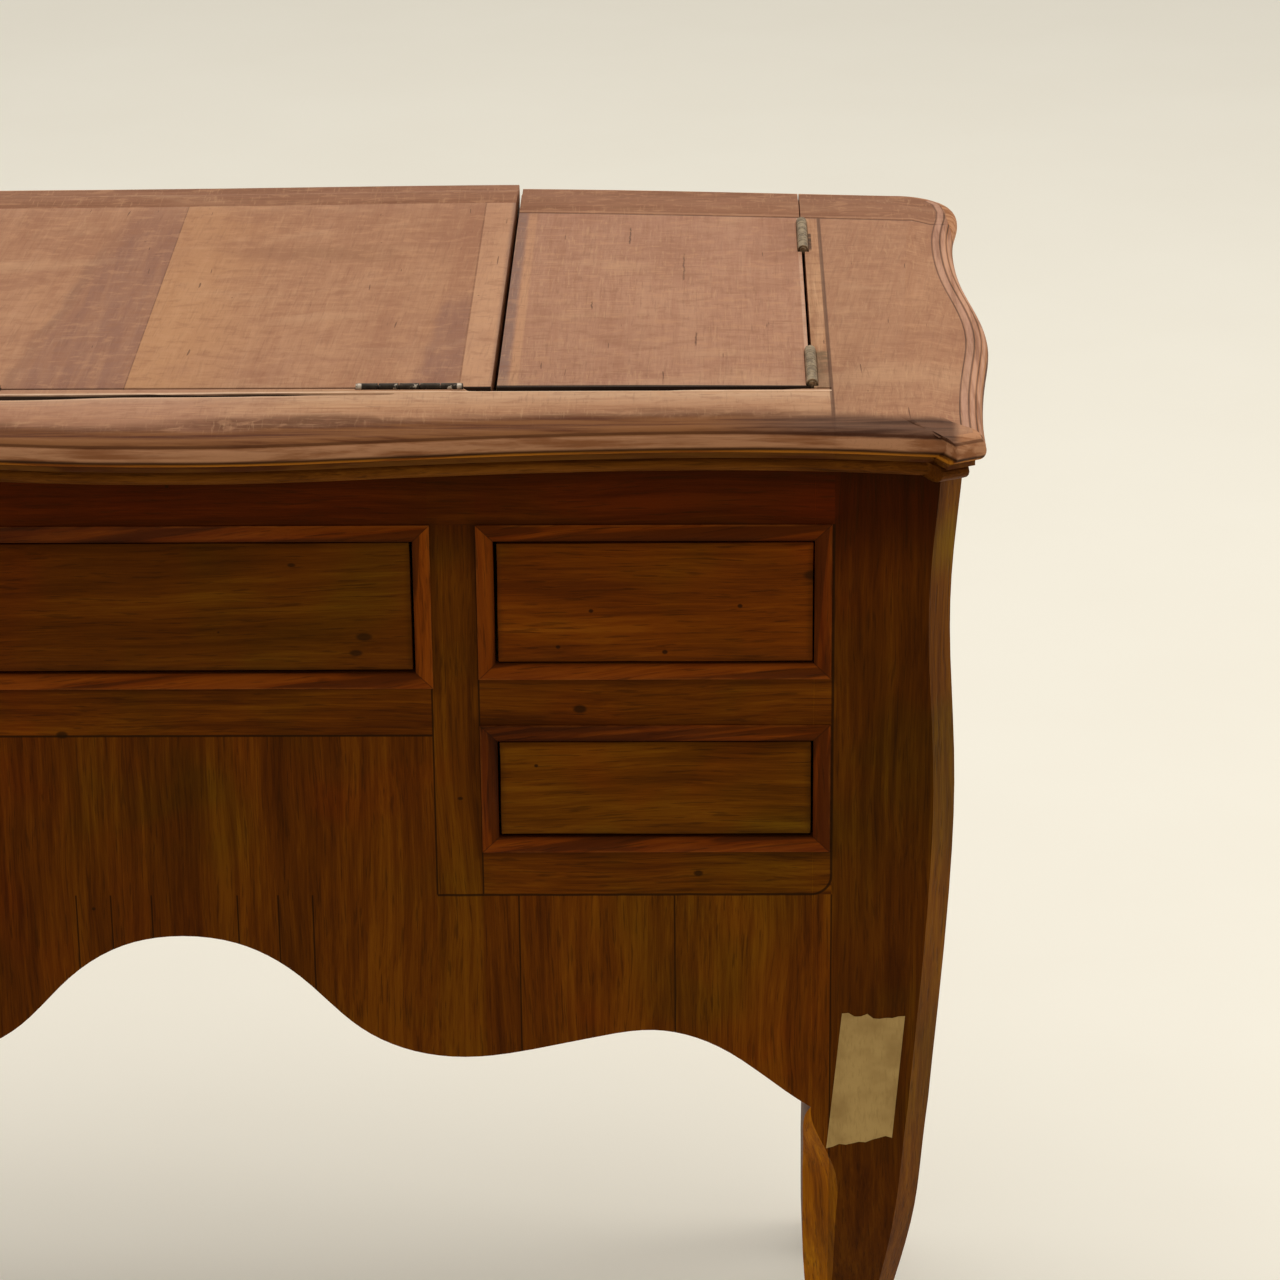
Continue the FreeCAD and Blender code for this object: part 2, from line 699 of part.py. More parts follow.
def hinge_places():
    """Each lid's hinges: place along X and Y, and the turn that points the lid's leaf at the lid."""
    ys = (side_hinge_near_y, side_hinge_far_y)
    return {
        "centre": [(centre_hinge_x, hinge_line_y, 0), (-centre_hinge_x, hinge_line_y, 0)],
        "right": [(side_hinge_x, y, 90) for y in ys],
        "left": [(-side_hinge_x, y, -90) for y in ys],
    }


def hinges_for(lid, shape):
    return [place_hinge(shape, *place) for place in hinge_places()[lid]]


def knuckle_radius(lid):
    return centre_knuckle_radius if lid == "centre" else side_knuckle_radius


def hinge_beds():
    """What each lid's hinges cut from the wood round them."""
    return {lid: hinges_for(lid, hinge_recess(knuckle_radius(lid))) for lid in hinge_places()}


def cut_all(shape, cutters):
    for cutter in cutters:
        shape = shape.cut(cutter)
    return shape


# The mirror
def mirror_parts():
    """Backing, glass and four mitred frame mouldings under the centre lid."""
    x1 = lid_joint_x - mirror_margin_x - mirror_frame_width
    y0 = hinge_line_y + mirror_margin_hinge + mirror_frame_width
    y1 = frame_inner_y - mirror_margin_sitter - mirror_frame_width
    back_z = top_under_z - mirror_back_thickness
    glass_z = back_z - mirror_thickness
    rim = mirror_lip
    back = box(-x1 - rim, x1 + rim, y0 - rim, y1 + rim, back_z, top_under_z)
    glass = box(-x1 - rim, x1 + rim, y0 - rim, y1 + rim, glass_z, back_z)
    play = glue_gap
    bed = box(-x1 - rim - play, x1 + rim + play, y0 - rim - play, y1 + rim + play, glass_z, top_under_z)
    frame = []
    for corners in mitred_strips(-x1, x1, y0, y1, mirror_frame_width):
        face = polygon_face([Vector(u, v, top_under_z - mirror_frame_thickness) for u, v in corners])
        frame.append(face.extrude(Vector(0, 0, mirror_frame_thickness)).cut(bed))
    return back, glass, frame


def export_legs():
    right = leg()
    left = flip_x(right)
    export("leg_hinge_side_right", right)
    export("leg_hinge_side_left", left)
    export("leg_sitter_side_right", flip_y(right))
    export("leg_sitter_side_left", flip_y(left))


def export_case():
    """Face frames, bands and aprons of both faces, then the sides and the bead."""
    for side, turn in (("hinge_side", lambda s: s), ("sitter_side", flip_y)):
        export("top_rail_" + side, turn(top_rail()))
        export("apron_" + side, turn(apron()))
        export("stiles_" + side, *[turn(s) for s in stiles()])
        export("drawer_rails_" + side, *[turn(s) for s in drawer_rails()])
        export("bands_" + side, *[turn(s) for s in bands()])
    right = side_panel()
    export("side_panel_right", right)
    export("side_panel_left", flip_x(right))
    export("bead_moulding", *bead_ring())


def export_inside(wall):
    export("partitions", *partitions())
    export("drawer_runners", *[r for level in ("centre", "upper", "lower") for r in runners(level)])
    export("well_floor", well_floor())
    export("well_walls", wall, flip_x(wall))
    divider = well_divider()
    export("well_dividers", divider, flip_x(divider))


def export_drawers():
    for name, (x0, x1, z0, z1) in openings().items():
        middle_x, middle_z = (x0 + x1) / 2, (z0 + z1) / 2
        if name == "centre":
            knob_xs = (-centre_knob_spacing / 2, centre_knob_spacing / 2)
        else:
            knob_xs = (middle_x,)
        pieces = drawer(x0, x1, z0, z1)
        front = cut_all(pieces["sitter_side_front"][0], [knob_hole(x, middle_z) for x in knob_xs])
        export(f"{name}_drawer_hinge_side_front", *pieces["hinge_side_front"])
        export(f"{name}_drawer_sitter_side_front", front)
        export(f"{name}_drawer_box", *pieces["box"])
        export(f"{name}_drawer_knob", *[knob(x, middle_z) for x in knob_xs])


def export_lids(pieces):
    beds = hinge_beds()
    screws = [screw(x, 1) for x in screw_places()]
    export("centre_lid_panel", cut_all(pieces["centre_panel"], beds["centre"]))
    export("centre_lid_lipping", pieces["centre_lipping"])
    export("right_lid_panel", cut_all(pieces["flap_panel"], beds["right"]))
    export("right_lid_lipping", pieces["flap_lipping"])
    export("left_lid_panel", cut_all(flip_x(pieces["flap_panel"]), beds["left"]))
    export("left_lid_lipping", flip_x(pieces["flap_lipping"]))
    for lid in hinge_places():
        lid_leaf = Part.makeCompound([leaf(1, knuckle_radius(lid)), *screws])
        export(f"{lid}_lid_hinge_leaves", *hinges_for(lid, lid_leaf))
    back, glass, frame = mirror_parts()
    export("mirror_frame", back, *frame)
    export("mirror_glass", glass)


def export_top(pieces):
    """The fixed rail and boards, and the fixed half of every hinge."""
    beds = hinge_beds()
    leaves, pins, fixed_screws = [], [], []
    screws = Part.makeCompound([screw(x, -1) for x in screw_places()])
    for lid in hinge_places():
        leaves += hinges_for(lid, leaf(-1, knuckle_radius(lid)))
        pins += hinges_for(lid, hinge_pin())
        fixed_screws += hinges_for(lid, screws)
    export("top_hinge_rail", cut_all(pieces["rail"], beds["centre"]))
    wall = cut_all(well_wall(pieces["wall_top"]), beds["right"])
    side = cut_all(pieces["side"], beds["right"])
    export("top_board_right", side)
    export("top_board_left", flip_x(side))
    export("top_end_strips", pieces["strip"], flip_x(pieces["strip"]))
    export("hinge_fixed_leaves", *leaves)
    export("hinge_pins", *pins)
    export("hinge_screws", *fixed_screws)
    return wall


def main():
    os.makedirs("parts", exist_ok=True)
    pieces = top_pieces(whole_top())
    export_legs()
    export_case()
    wall = export_top(pieces)
    export_inside(wall)
    export_drawers()
    export_lids(pieces)


main()
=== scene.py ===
import math
import random

import bpy
from mathutils import Matrix, Vector, noise


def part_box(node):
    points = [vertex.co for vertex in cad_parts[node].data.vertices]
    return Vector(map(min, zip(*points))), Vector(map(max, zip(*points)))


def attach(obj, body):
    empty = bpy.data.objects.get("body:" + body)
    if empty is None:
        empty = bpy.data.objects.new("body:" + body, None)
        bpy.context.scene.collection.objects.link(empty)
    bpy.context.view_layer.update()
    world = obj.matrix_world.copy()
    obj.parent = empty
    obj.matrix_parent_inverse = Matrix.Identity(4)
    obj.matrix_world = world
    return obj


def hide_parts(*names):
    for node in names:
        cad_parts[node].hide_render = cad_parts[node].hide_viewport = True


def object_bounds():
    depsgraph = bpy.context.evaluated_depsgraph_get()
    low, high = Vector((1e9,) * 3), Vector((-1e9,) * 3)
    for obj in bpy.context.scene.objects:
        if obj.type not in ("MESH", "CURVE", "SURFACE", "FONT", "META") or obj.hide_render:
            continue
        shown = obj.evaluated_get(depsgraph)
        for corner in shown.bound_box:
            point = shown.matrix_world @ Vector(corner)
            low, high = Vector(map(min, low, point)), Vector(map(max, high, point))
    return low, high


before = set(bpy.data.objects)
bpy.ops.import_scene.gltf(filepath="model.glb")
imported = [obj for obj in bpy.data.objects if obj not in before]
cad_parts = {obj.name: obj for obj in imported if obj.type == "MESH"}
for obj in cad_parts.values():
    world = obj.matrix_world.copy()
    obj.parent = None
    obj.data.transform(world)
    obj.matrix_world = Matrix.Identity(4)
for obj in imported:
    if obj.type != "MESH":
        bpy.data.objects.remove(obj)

mm = 0.001
cad_low, cad_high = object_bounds()

# Camera, fitted to the table's edges for a table 760 mm high
camera_place = Vector((306.5, -2593.6, 1612.1)) * mm
camera_pitch = math.radians(22.571)
camera_yaw = math.radians(0.958)
camera_roll = math.radians(-0.513)
image_side = 1280
focal_pixels = 4454.8
sensor_width = 36.0

# Places on the top, from the frame
hinge_y, top_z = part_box("top_hinge_rail")[1].yz
lid_edge_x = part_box("centre_lid_panel")[1].x
side_lid_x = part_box("right_lid_panel")[0].x
wall_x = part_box("well_walls")[1].x
nosing_top_z = top_z - 3.0 * mm
edge_samples = 31
edge_margin = 1.0 * mm
lobe_x = 420.0 * mm
side_line_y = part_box("right_lid_panel")[1].y
side_line_fall = side_line_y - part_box("top_end_strips")[0].y
side_line_span = 249.0 * mm
veneer_seam_x = -31.5 * mm
strip_seam_x = 162.5 * mm

# How far the centre lid has lifted, and how deep the rail's groove and worn edge are, in millimetres
lid_lift, groove_depth, edge_depth = 3.4, 7.0, 6.0

# Places on the two faces, from the frame
face_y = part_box("apron_hinge_side")[0].y
band_outer_x, band_top_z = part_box("bands_hinge_side")[1].xz
low_rail_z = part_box("drawer_rails_hinge_side")[0].z
centre_rail_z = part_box("apron_hinge_side")[1].z
stile_inner_x = 145.0 * mm
stile_outer_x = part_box("stiles_hinge_side")[1].x - 10.0 * mm
opening_boxes = [
    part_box(f"{name}_drawer_hinge_side_front") for name in ("centre", "upper_right", "lower_right")
]
drawer_gap = 1.2 * mm
band_width = 10.0 * mm
# Heights over which the face is given painted shadow under the overhanging top
shade_under_top_z = (650 * mm, 705 * mm)

# Seams of the apron's leaves from the middle outwards, in millimetres, and how light each leaf is
apron_seams = [25.6, 49.9, 70.5, 193.3, 285.8]
leaf_shades = [0.78, 0.95, 0.82, 0.9, 0.98, 1.04, 0.66]
leg_seam_x = band_outer_x + 1.2 * mm
leaf_edges = [seam * mm for seam in apron_seams] + [leg_seam_x]

# Marks on the faces: X and Z of the middle and the radius, in millimetres
drawer_knots = [(106.5, 623.1, 3.2), (101.5, 613.0, 2.6), (367.0, 661.0, 4.0), (66.0, 668.0, 1.6)]
drawer_specks = [
    (238.4, 639.0, 1.5), (324.6, 641.9, 1.6), (219.0, 616.5, 1.5), (281.0, 613.2, 1.8), (205.0, 541.0, 1.3),
]
face_knots = [
    (231.2, 577.2, 3.4), (-4.3, 591.0, 1.6), (-72.7, 561.4, 3.0), (300.0, 471.0, 2.4), (160.0, 520.0, 1.4),
]

# Where a ramp puts a wood's dark, middle and light tone
tone_places = (0.38, 0.50, 0.62)


def tint(colour):
    """Linear values for a colour given as a screen shows it. A colour of four numbers is linear already."""
    if len(colour) == 4:
        return colour
    shares = [c / 255 for c in colour]
    return tuple(c / 12.92 if c < 0.04045 else ((c + 0.055) / 1.055) ** 2.4 for c in shares) + (1.0,)


# Node trees
class Shader:
    """Adds nodes to one tree and keeps the colour painted so far.

    An input takes a number, a colour, a vector or another node's output.
    """

    def __init__(self, tree):
        self.tree = tree
        self.colour = None

    def at(self, place):
        """Takes a place as the one that is shaded. Its side is how far it is from the middle."""
        self.place = place
        self.x, self.y, self.z = self.split(place)
        self.side = self.abs(self.x)

    def feed(self, socket, value):
        if isinstance(value, bpy.types.NodeSocket):
            self.tree.links.new(value, socket)
        else:
            socket.default_value = tint(value) if socket.type == "RGBA" else value

    def add(self, kind, inputs, **settings):
        node = self.tree.nodes.new("ShaderNode" + kind)
        for name, value in settings.items():
            setattr(node, name, value)
        for key, value in inputs.items():
            self.feed(node.inputs[key], value)
        return node

    def math(self, operation, *values):
        return self.add("Math", dict(enumerate(values)), operation=operation).outputs[0]

    def plus(self, a, b):
        return self.math("ADD", a, b)

    def minus(self, a, b):
        return self.math("SUBTRACT", a, b)

    def times(self, *values):
        """The product. Of masks, it is 1 where all of them are."""
        whole = values[0]
        for value in values[1:]:
            whole = self.math("MULTIPLY", whole, value)
        return whole

    def over(self, a, b):
        return self.math("DIVIDE", a, b)

    def less(self, a, b):
        return self.math("LESS_THAN", a, b)

    def more(self, a, b):
        return self.math("GREATER_THAN", a, b)

    def least(self, a, b):
        return self.math("MINIMUM", a, b)

    def most(self, *values):
        """The highest. Of masks, it is 1 where any of them is."""
        whole = values[0]
        for value in values[1:]:
            whole = self.math("MAXIMUM", whole, value)
        return whole

    def abs(self, value):
        return self.math("ABSOLUTE", value)

    def inverse(self, mask):
        return self.minus(1.0, mask)

    def vector(self, operation, a, b):
        return self.add("VectorMath", {0: a, 1: b}, operation=operation).outputs[0]

    def mix(self, factor, a, b, blend="MIX"):
        return self.add("Mix", {0: factor, 6: a, 7: b}, data_type="RGBA", blend_type=blend).outputs[2]

    def blend(self, factor, a, b):
        """A number between a and b."""
        return self.add("Mix", {0: factor, 2: a, 3: b}, data_type="FLOAT").outputs[0]

    def rise(self, value, low, high):
        """0 below low, 1 above high, smooth between them."""
        inputs = {"Value": value, "From Min": low, "From Max": high}
        return self.add("MapRange", inputs, interpolation_type="SMOOTHSTEP").outputs[0]

    def fall(self, value, low, high):
        """1 below low, 0 above high, smooth between them."""
        return self.inverse(self.rise(value, low, high))

    def within(self, value, low, high, soft):
        """1 from low to high, with both ends softened by this many millimetres."""
        soft *= mm
        rising = self.rise(value, low - soft, low + soft)
        return self.times(rising, self.fall(value, high - soft, high + soft))

    def line(self, value, place, width):
        """1 where the value is at its place, and 0 from this many millimetres to each side of it."""
        return self.fall(self.abs(self.minus(value, place)), width / 2 * mm, width * mm)

    def split(self, vector):
        return self.add("SeparateXYZ", {0: vector}).outputs

    def turned(self, turn, shift=(0, 0, 0)):
        """The place turned by degrees about X, Y and Z, then shifted."""
        angles = [math.radians(a) for a in turn]
        return self.add("Mapping", {"Vector": self.place, "Rotation": angles, "Location": shift}).outputs[0]

    def noise(self, scale, detail=3.0, roughness=0.55, distortion=0.0, vector=None):
        """Noise from 0 to 1 at the place or another vector. The scale is one number, or one for each axis."""
        if vector is None:
            vector = self.place
        if isinstance(scale, tuple):
            vector, scale = self.add("Mapping", {"Vector": vector, "Scale": scale}).outputs[0], 1.0
        inputs = {"Vector": vector, "Scale": scale, "Detail": detail, "Roughness": roughness}
        return self.add("TexNoise", {**inputs, "Distortion": distortion}).outputs["Fac"]

    def ramp(self, value, stops, interpolation="LINEAR"):
        node = self.add("ValToRGB", {"Fac": value})
        ramp, stops = node.color_ramp, list(stops)
        ramp.interpolation = interpolation
        while len(ramp.elements) < len(stops):
            ramp.elements.new(1.0)
        for element, (place, colour) in zip(ramp.elements, stops):
            element.position = place
            element.color = tint(colour)
        return node.outputs[0]

    def group(self, tree, **inputs):
        return self.add("Group", {"Vector": self.place, **inputs}, node_tree=tree).outputs

    def stain(self, mask, strength, paint):
        """Lays paint over the colour."""
        self.colour = self.mix(self.times(mask, strength), self.colour, paint)

    def shade(self, mask, share):
        """Darkens or lightens the colour."""
        self.colour = self.mix(mask, self.colour, self.mix(1.0, self.colour, (*share, 1.0), "MULTIPLY"))

    def finish(self, inputs):
        """The surface itself, in the colour painted so far."""
        surface = self.add("BsdfPrincipled", {"Base Color": self.colour, **inputs})
        self.tree.links.new(surface.outputs[0], self.add("OutputMaterial", {}).inputs[0])


def make_group(name, numbers, outputs, build):
    """A node group. It takes a place, and numbers with their usual values, and gives numbers or a Normal."""
    tree = bpy.data.node_groups.new(name, "ShaderNodeTree")
    tree.interface.new_socket("Vector", in_out="INPUT", socket_type="NodeSocketVector")
    for label, usual in numbers.items():
        socket = tree.interface.new_socket(label, in_out="INPUT", socket_type="NodeSocketFloat")
        socket.default_value = usual
    for label in outputs:
        kind = "Vector" if label == "Normal" else "Float"
        tree.interface.new_socket(label, in_out="OUTPUT", socket_type="NodeSocket" + kind)
    s = Shader(tree)
    entry, leave = tree.nodes.new("NodeGroupInput"), tree.nodes.new("NodeGroupOutput")
    s.at(entry.outputs["Vector"])
    for label, value in build(s, *[entry.outputs[label] for label in numbers]).items():
        s.feed(leave.inputs[label], value)
    return tree


def build_grain(s, wander):
    """Wood whose grain runs along X, in metres."""
    drift = s.noise((5, 14, 14), detail=2).node.outputs["Color"]
    sideways = s.add("CombineXYZ", {0: 0.0, 1: wander, 2: wander}).outputs[0]
    drift = s.vector("MULTIPLY", s.vector("SUBTRACT", drift, (0.5, 0.5, 0.5)), sideways)
    s.at(s.vector("ADD", s.place, drift))
    figure = s.noise((2.6, 28, 28), distortion=0.8)
    streak = s.noise((9, 250, 250), detail=5, roughness=0.65)
    fibre = s.noise((42, 1250, 1250), detail=2)
    dash = s.noise((36, 640, 640), detail=2, roughness=0.6)
    return {"Figure": figure, "Streak": streak, "Fibre": fibre, "Pores": s.rise(dash, 0.56, 0.68)}


def build_wear(s, radius, reach):
    """Where arrises are rubbed, and where grime gathers and painted shade falls in the hollows, with a normal
    that rounds the arrises.
    """
    rounded = s.add("Bevel", {"Radius": radius}, samples=4).outputs[0]
    true_normal = s.add("NewGeometry", {}).outputs["Normal"]
    bend = s.add("VectorMath", {0: rounded, 1: true_normal}, operation="DOT_PRODUCT").outputs["Value"]
    # Ambient occlusion: grime and painted shade in the hollows
    open_share = s.add("AmbientOcclusion", {"Distance": reach}, samples=4).outputs["AO"]
    edge = s.times(s.rise(s.inverse(bend), 0.02, 0.25), s.rise(open_share, 0.55, 0.9))
    return {"Edge": edge, "GrimeAndShade": s.fall(open_share, 0.15, 0.85), "Normal": rounded}


def build_scratches(s):
    """Hairlines that run along X and along Y, light ones and dark ones."""
    patches = s.rise(s.noise(11.0, detail=2), 0.35, 0.65)
    lines = {"Light": [], "Dark": []}
    for scale in ((42, 760, 300), (620, 46, 300)):
        fine = s.noise(scale, roughness=0.55)
        lines["Light"].append(s.rise(fine, 0.56, 0.68))
        lines["Dark"].append(s.fall(fine, 0.33, 0.43))
    return {name: s.times(s.most(*masks), s.blend(patches, 0.35, 1.0)) for name, masks in lines.items()}


def build_wormholes(s, density, spared):
    """Small round holes, scattered unevenly."""
    cells = s.add("TexVoronoi", {"Vector": s.place, "Scale": density})
    near = s.fall(cells.outputs["Distance"], 0.025, 0.05)
    chance = s.add("SeparateColor", {0: cells.outputs["Color"]}).outputs[0]
    return {"Mask": s.times(near, s.more(chance, spared))}


def build_openings(s):
    """How far a place on either face lies outside the nearest drawer opening, below 0 inside it.

    Upright is 1 beside an opening and 0 over or under it, and Mitre is where the two meet.
    """
    nearest, standing, mitres = 1.0, 0.0, []
    for low, high in opening_boxes:
        middle, half = (low + high) / 2, (high - low) / 2
        across = s.side if low.x < 0 else s.abs(s.minus(s.side, middle.x))
        upright = s.abs(s.minus(s.z, middle.z))
        past_side = s.minus(across, half.x + drawer_gap)
        past_end = s.minus(upright, half.z + drawer_gap)
        outside = s.most(past_side, past_end)
        mitre = s.line(s.minus(past_side, past_end), 0.0, 0.5)
        mitres.append(s.times(mitre, s.within(outside, 0.0, band_width, 0.2)))
        beside = s.more(past_side, past_end)
        standing = s.blend(s.less(outside, nearest), standing, beside)
        nearest = s.least(nearest, outside)
    return {"Distance": nearest, "Upright": standing, "Mitre": s.most(*mitres)}


def edge_stops(nodes, along, across, sign, low, high):
    """How far the top reaches across, at even steps along it from low to high, as the stops of a ramp."""
    lines = []
    for name in nodes:
        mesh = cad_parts[name].data
        spots = [vertex.co for vertex in mesh.vertices]
        lines += [(spots[edge.vertices[0]], spots[edge.vertices[1]]) for edge in mesh.edges]
    stops = []
    for k in range(edge_samples):
        share = k / (edge_samples - 1)
        place = min(max(low + (high - low) * share, low + edge_margin), high - edge_margin)
        reach = 0.0
        for start, end in lines:
            before, after = start[along] - place, end[along] - place
            if before * after <= 0 and before != after:
                spot = start.lerp(end, before / (before - after))
                reach = max(reach, sign * spot[across])
        stops.append((share, (reach, reach, reach, 1.0)))
    return stops


def build_edges(s):
    """How far in from the top's outline a place lies, and whether an end or the hinge side is nearest."""
    sides = ["top_board_right", "top_end_strips"]
    low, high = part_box("top_board_right")
    near_stops = edge_stops(sides + ["top_hinge_rail"], 0, 1, -1, 0.0, high.x)
    far_stops = edge_stops(sides + ["centre_lid_lipping", "right_lid_lipping"], 0, 1, 1, 0.0, high.x)
    far_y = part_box("top_end_strips")[1].y
    end_stops = edge_stops(sides, 1, 0, 1, low.y, far_y)
    before_lobe = s.over(s.least(s.side, lobe_x), high.x)
    near = s.plus(s.y, s.ramp(before_lobe, near_stops))
    far = s.minus(s.ramp(s.over(s.side, high.x), far_stops), s.y)
    run = s.over(s.minus(s.y, low.y), far_y - low.y)
    end = s.minus(s.ramp(run, end_stops), s.side)
    along = s.least(near, far)
    at_end = s.less(end, along)
    at_hinges = s.times(s.inverse(at_end), s.less(near, far))
    return {"Inset": s.least(end, along), "End": at_end, "Hinges": at_hinges}


def build_joints(s):
    """The glued joints of the top: beside the wells' walls, and along the lippings of the side lids."""
    run = s.over(s.minus(s.side, lid_edge_x), side_line_span)
    run = s.least(s.most(run, 0.0), 1.0)
    line_y = s.plus(s.times(s.math("POWER", run, 1.25), -side_line_fall), side_line_y)
    gap = s.minus(s.y, line_y)
    at_side = s.more(s.side, lid_edge_x + 1.0 * mm)
    wall = s.times(s.line(s.side, wall_x, 1.5), s.less(gap, 0.0))
    joint = s.times(s.line(gap, 0.0, 1.1), at_side)
    rim = s.times(s.line(gap, 4.0 * mm, 2.0), at_side)
    return {"Mask": s.most(joint, wall), "Rim": rim}


grain_group = make_group("grain", {"Wander": 20.0 * mm}, ("Figure", "Streak", "Fibre", "Pores"), build_grain)
wear_group = make_group(
    "wear", {"Radius": 1.2 * mm, "Reach": 12.0 * mm}, ("Edge", "GrimeAndShade", "Normal"), build_wear,
)
scratch_group = make_group("scratches", {}, ("Light", "Dark"), build_scratches)
wormhole_group = make_group("wormholes", {"Density": 30.0, "Spared": 0.7}, ("Mask",), build_wormholes)
opening_group = make_group("openings", {}, ("Distance", "Upright", "Mitre"), build_openings)
edge_group = make_group("edges", {}, ("Inset", "End", "Hinges"), build_edges)
joint_group = make_group("joints", {}, ("Mask", "Rim"), build_joints)


# How the grain is turned, in degrees about X, Y and Z
along_x = (0, 0, 0)
along_y = (0, 0, -90)
along_z = (0, 90, 0)


def grain_along(s, turn, shift, look):
    """The grain group's outputs, with the grain turned, and shifted to another part of the tree."""
    place = s.turned(turn, (shift, shift * 0.7, shift * 0.4))
    return s.group(grain_group, Vector=place, Wander=look["wander"])


def wood_tone(s, grain):
    """One number from 0 to 1 for how light the wood is."""
    coarse = s.plus(s.times(grain["Figure"], 0.42), s.times(grain["Streak"], 0.42))
    return s.plus(coarse, s.times(grain["Fibre"], 0.16))


def wormholes(s, density, spared):
    return s.group(wormhole_group, Density=density, Spared=spared)["Mask"]


def dress(s, grain, tone, look):
    """Pores, rubbed arrises, grime and painted shade in the hollows, and gloss, then the surface itself."""
    s.stain(grain["Pores"], look["pores"], look["dark"])
    low, high = look["gloss"]
    roughness = s.blend(tone, high, low)
    height = s.plus(s.times(grain["Fibre"], 0.5), s.times(grain["Streak"], 0.5))
    height = s.minus(height, s.times(grain["Pores"], 0.4))
    bump = s.add("Bump", {"Height": height, "Strength": look["relief"], "Distance": 0.4 * mm})
    if "rub" in look:
        wear = s.group(wear_group)
        s.stain(wear["Edge"], look["rub"], look["rubbed"])
        # Grime and painted shade in the hollows
        s.stain(wear["GrimeAndShade"], look["dirt"], look["dark"])
        roughness = s.plus(roughness, s.times(wear["GrimeAndShade"], 0.15))
        s.feed(bump.inputs["Normal"], wear["Normal"])
    s.finish({"Roughness": roughness, "Normal": bump.outputs[0], "Specular IOR Level": look["sheen"],
              "Specular Tint": look["sheen_tint"]})


def new_material(name):
    material = bpy.data.materials.new(name)
    material.use_nodes = True
    material.node_tree.nodes.clear()
    s = Shader(material.node_tree)
    s.at(s.add("TexCoord", {}).outputs["Object"])
    return material, s


def wood(name, tones, turn, shift, look, *layers):
    """A wood finish. Each layer changes the colour by place."""
    material, s = new_material(name)
    grain = grain_along(s, turn, shift, look)
    tone = wood_tone(s, grain)
    s.colour = s.ramp(tone, zip(tone_places, tones))
    for paint in layers:
        paint(s)
    dress(s, grain, tone, look)
    return material


def two_ways(s, factor, first, second):
    """The grain and its tone where boards that lie two ways meet."""
    grain = {key: s.blend(factor, first[key], second[key]) for key in ("Pores", "Fibre", "Streak")}
    return grain, s.blend(factor, wood_tone(s, first), wood_tone(s, second))


def wobbly(s, value, size, reach, stretch=(1, 1, 1)):
    """The value, moved to and fro, so that a stain's edge isn't straight. Size and reach in millimetres."""
    sway = s.noise(tuple(share / size / mm for share in stretch))
    return s.plus(value, s.times(s.minus(sway, 0.5), reach * 2 * mm))


def distance(s, across, upright):
    return s.math("SQRT", s.plus(s.times(across, across), s.times(upright, upright)))


def round_marks(s, marks, stretch):
    """Soft round or drawn-out marks at the given places, in millimetres, with their radii."""
    masks = []
    for mark_x, mark_z, radius in marks:
        gap = distance(s, s.over(s.minus(s.x, mark_x * mm), stretch), s.minus(s.z, mark_z * mm))
        masks.append(s.fall(gap, radius * 0.5 * mm, radius * mm))
    return s.most(*masks)


# The faded top: the dark, middle and light tone of each of its woods, as a screen shows them
top_tones = ((163, 114, 86), (172, 124, 93), (181, 133, 101))
pink_tones = ((165, 117, 91), (173, 125, 99), (181, 134, 106))
strip_tones = ((132, 87, 62), (149, 102, 75), (162, 116, 87))
rail_tones = ((160, 112, 80), (189, 142, 106), (206, 161, 124))
top_look = {
    "pores": 0.12, "wander": 7.0 * mm, "gloss": (0.55, 0.75), "relief": 0.35,
    "dark": (96, 62, 46), "sheen": 0.15, "sheen_tint": (1.0, 0.8, 0.6, 1.0),
}


# Cracks of the side lids: X, and the Y of both ends, in millimetres
side_lid_cracks = ((257, 110, 144), (291.6, 36, 89), (299.5, -89, -66), (236, -20, -6))
black_shadow = (22, 11, 8)


def age_top(s, crack_stretch=(420, 26, 60), hairs=1.0):
    """Hairlines both ways, blotches of old water, short cracks and dark glue lines."""
    s.shade(s.rise(s.y, -40 * mm, 230 * mm), (0.89, 0.86, 0.87))
    blotch = s.noise(13.0, detail=5, roughness=0.62, distortion=0.6)
    s.stain(s.rise(blotch, 0.48, 0.70), 0.5, (150, 102, 78))
    quilt = s.noise((70, 120, 100), roughness=0.6, distortion=0.3)
    s.stain(s.rise(quilt, 0.52, 0.66), 0.35, (146, 98, 72))
    s.stain(s.rise(quilt, 0.48, 0.34), 0.35, (192, 142, 106))
    pale = s.noise((9, 22, 22), distortion=0.4)
    s.stain(s.rise(pale, 0.54, 0.74), 0.35, (202, 158, 122))
    marks = s.group(scratch_group)
    s.stain(marks["Light"], 0.30 * hairs, (206, 162, 122))
    s.stain(marks["Dark"], 0.26 * hairs, (126, 84, 64))
    cracks = s.noise(crack_stretch, detail=1)
    s.stain(s.rise(cracks, 0.775, 0.795), 0.65, (78, 48, 36))
    s.stain(wormholes(s, 60.0, 0.90), 0.6, (70, 44, 32))
    joints = s.group(joint_group)
    s.stain(joints["Rim"], 0.3, (204, 156, 122))
    s.stain(joints["Mask"], 0.7, (74, 46, 36))


def age_across(s):
    """The same on a board whose grain runs along X, as its cracks do."""
    age_top(s, (26, 420, 60))


# Marks along the end mouldings: how far in from the edge and how wide, in millimetres, how strong, and the
# tones of their streaks
end_marks = (
    ([(10.8, 2.4), (6.2, 1.6), (2.4, 1.2)], 0.6, (150, 108, 90), (202, 156, 134)),
    ([(13.4, 0.6), (8.3, 0.7), (4.2, 0.6), (0.0, 0.9)], 0.8, (60, 36, 30), (110, 76, 62)),
)
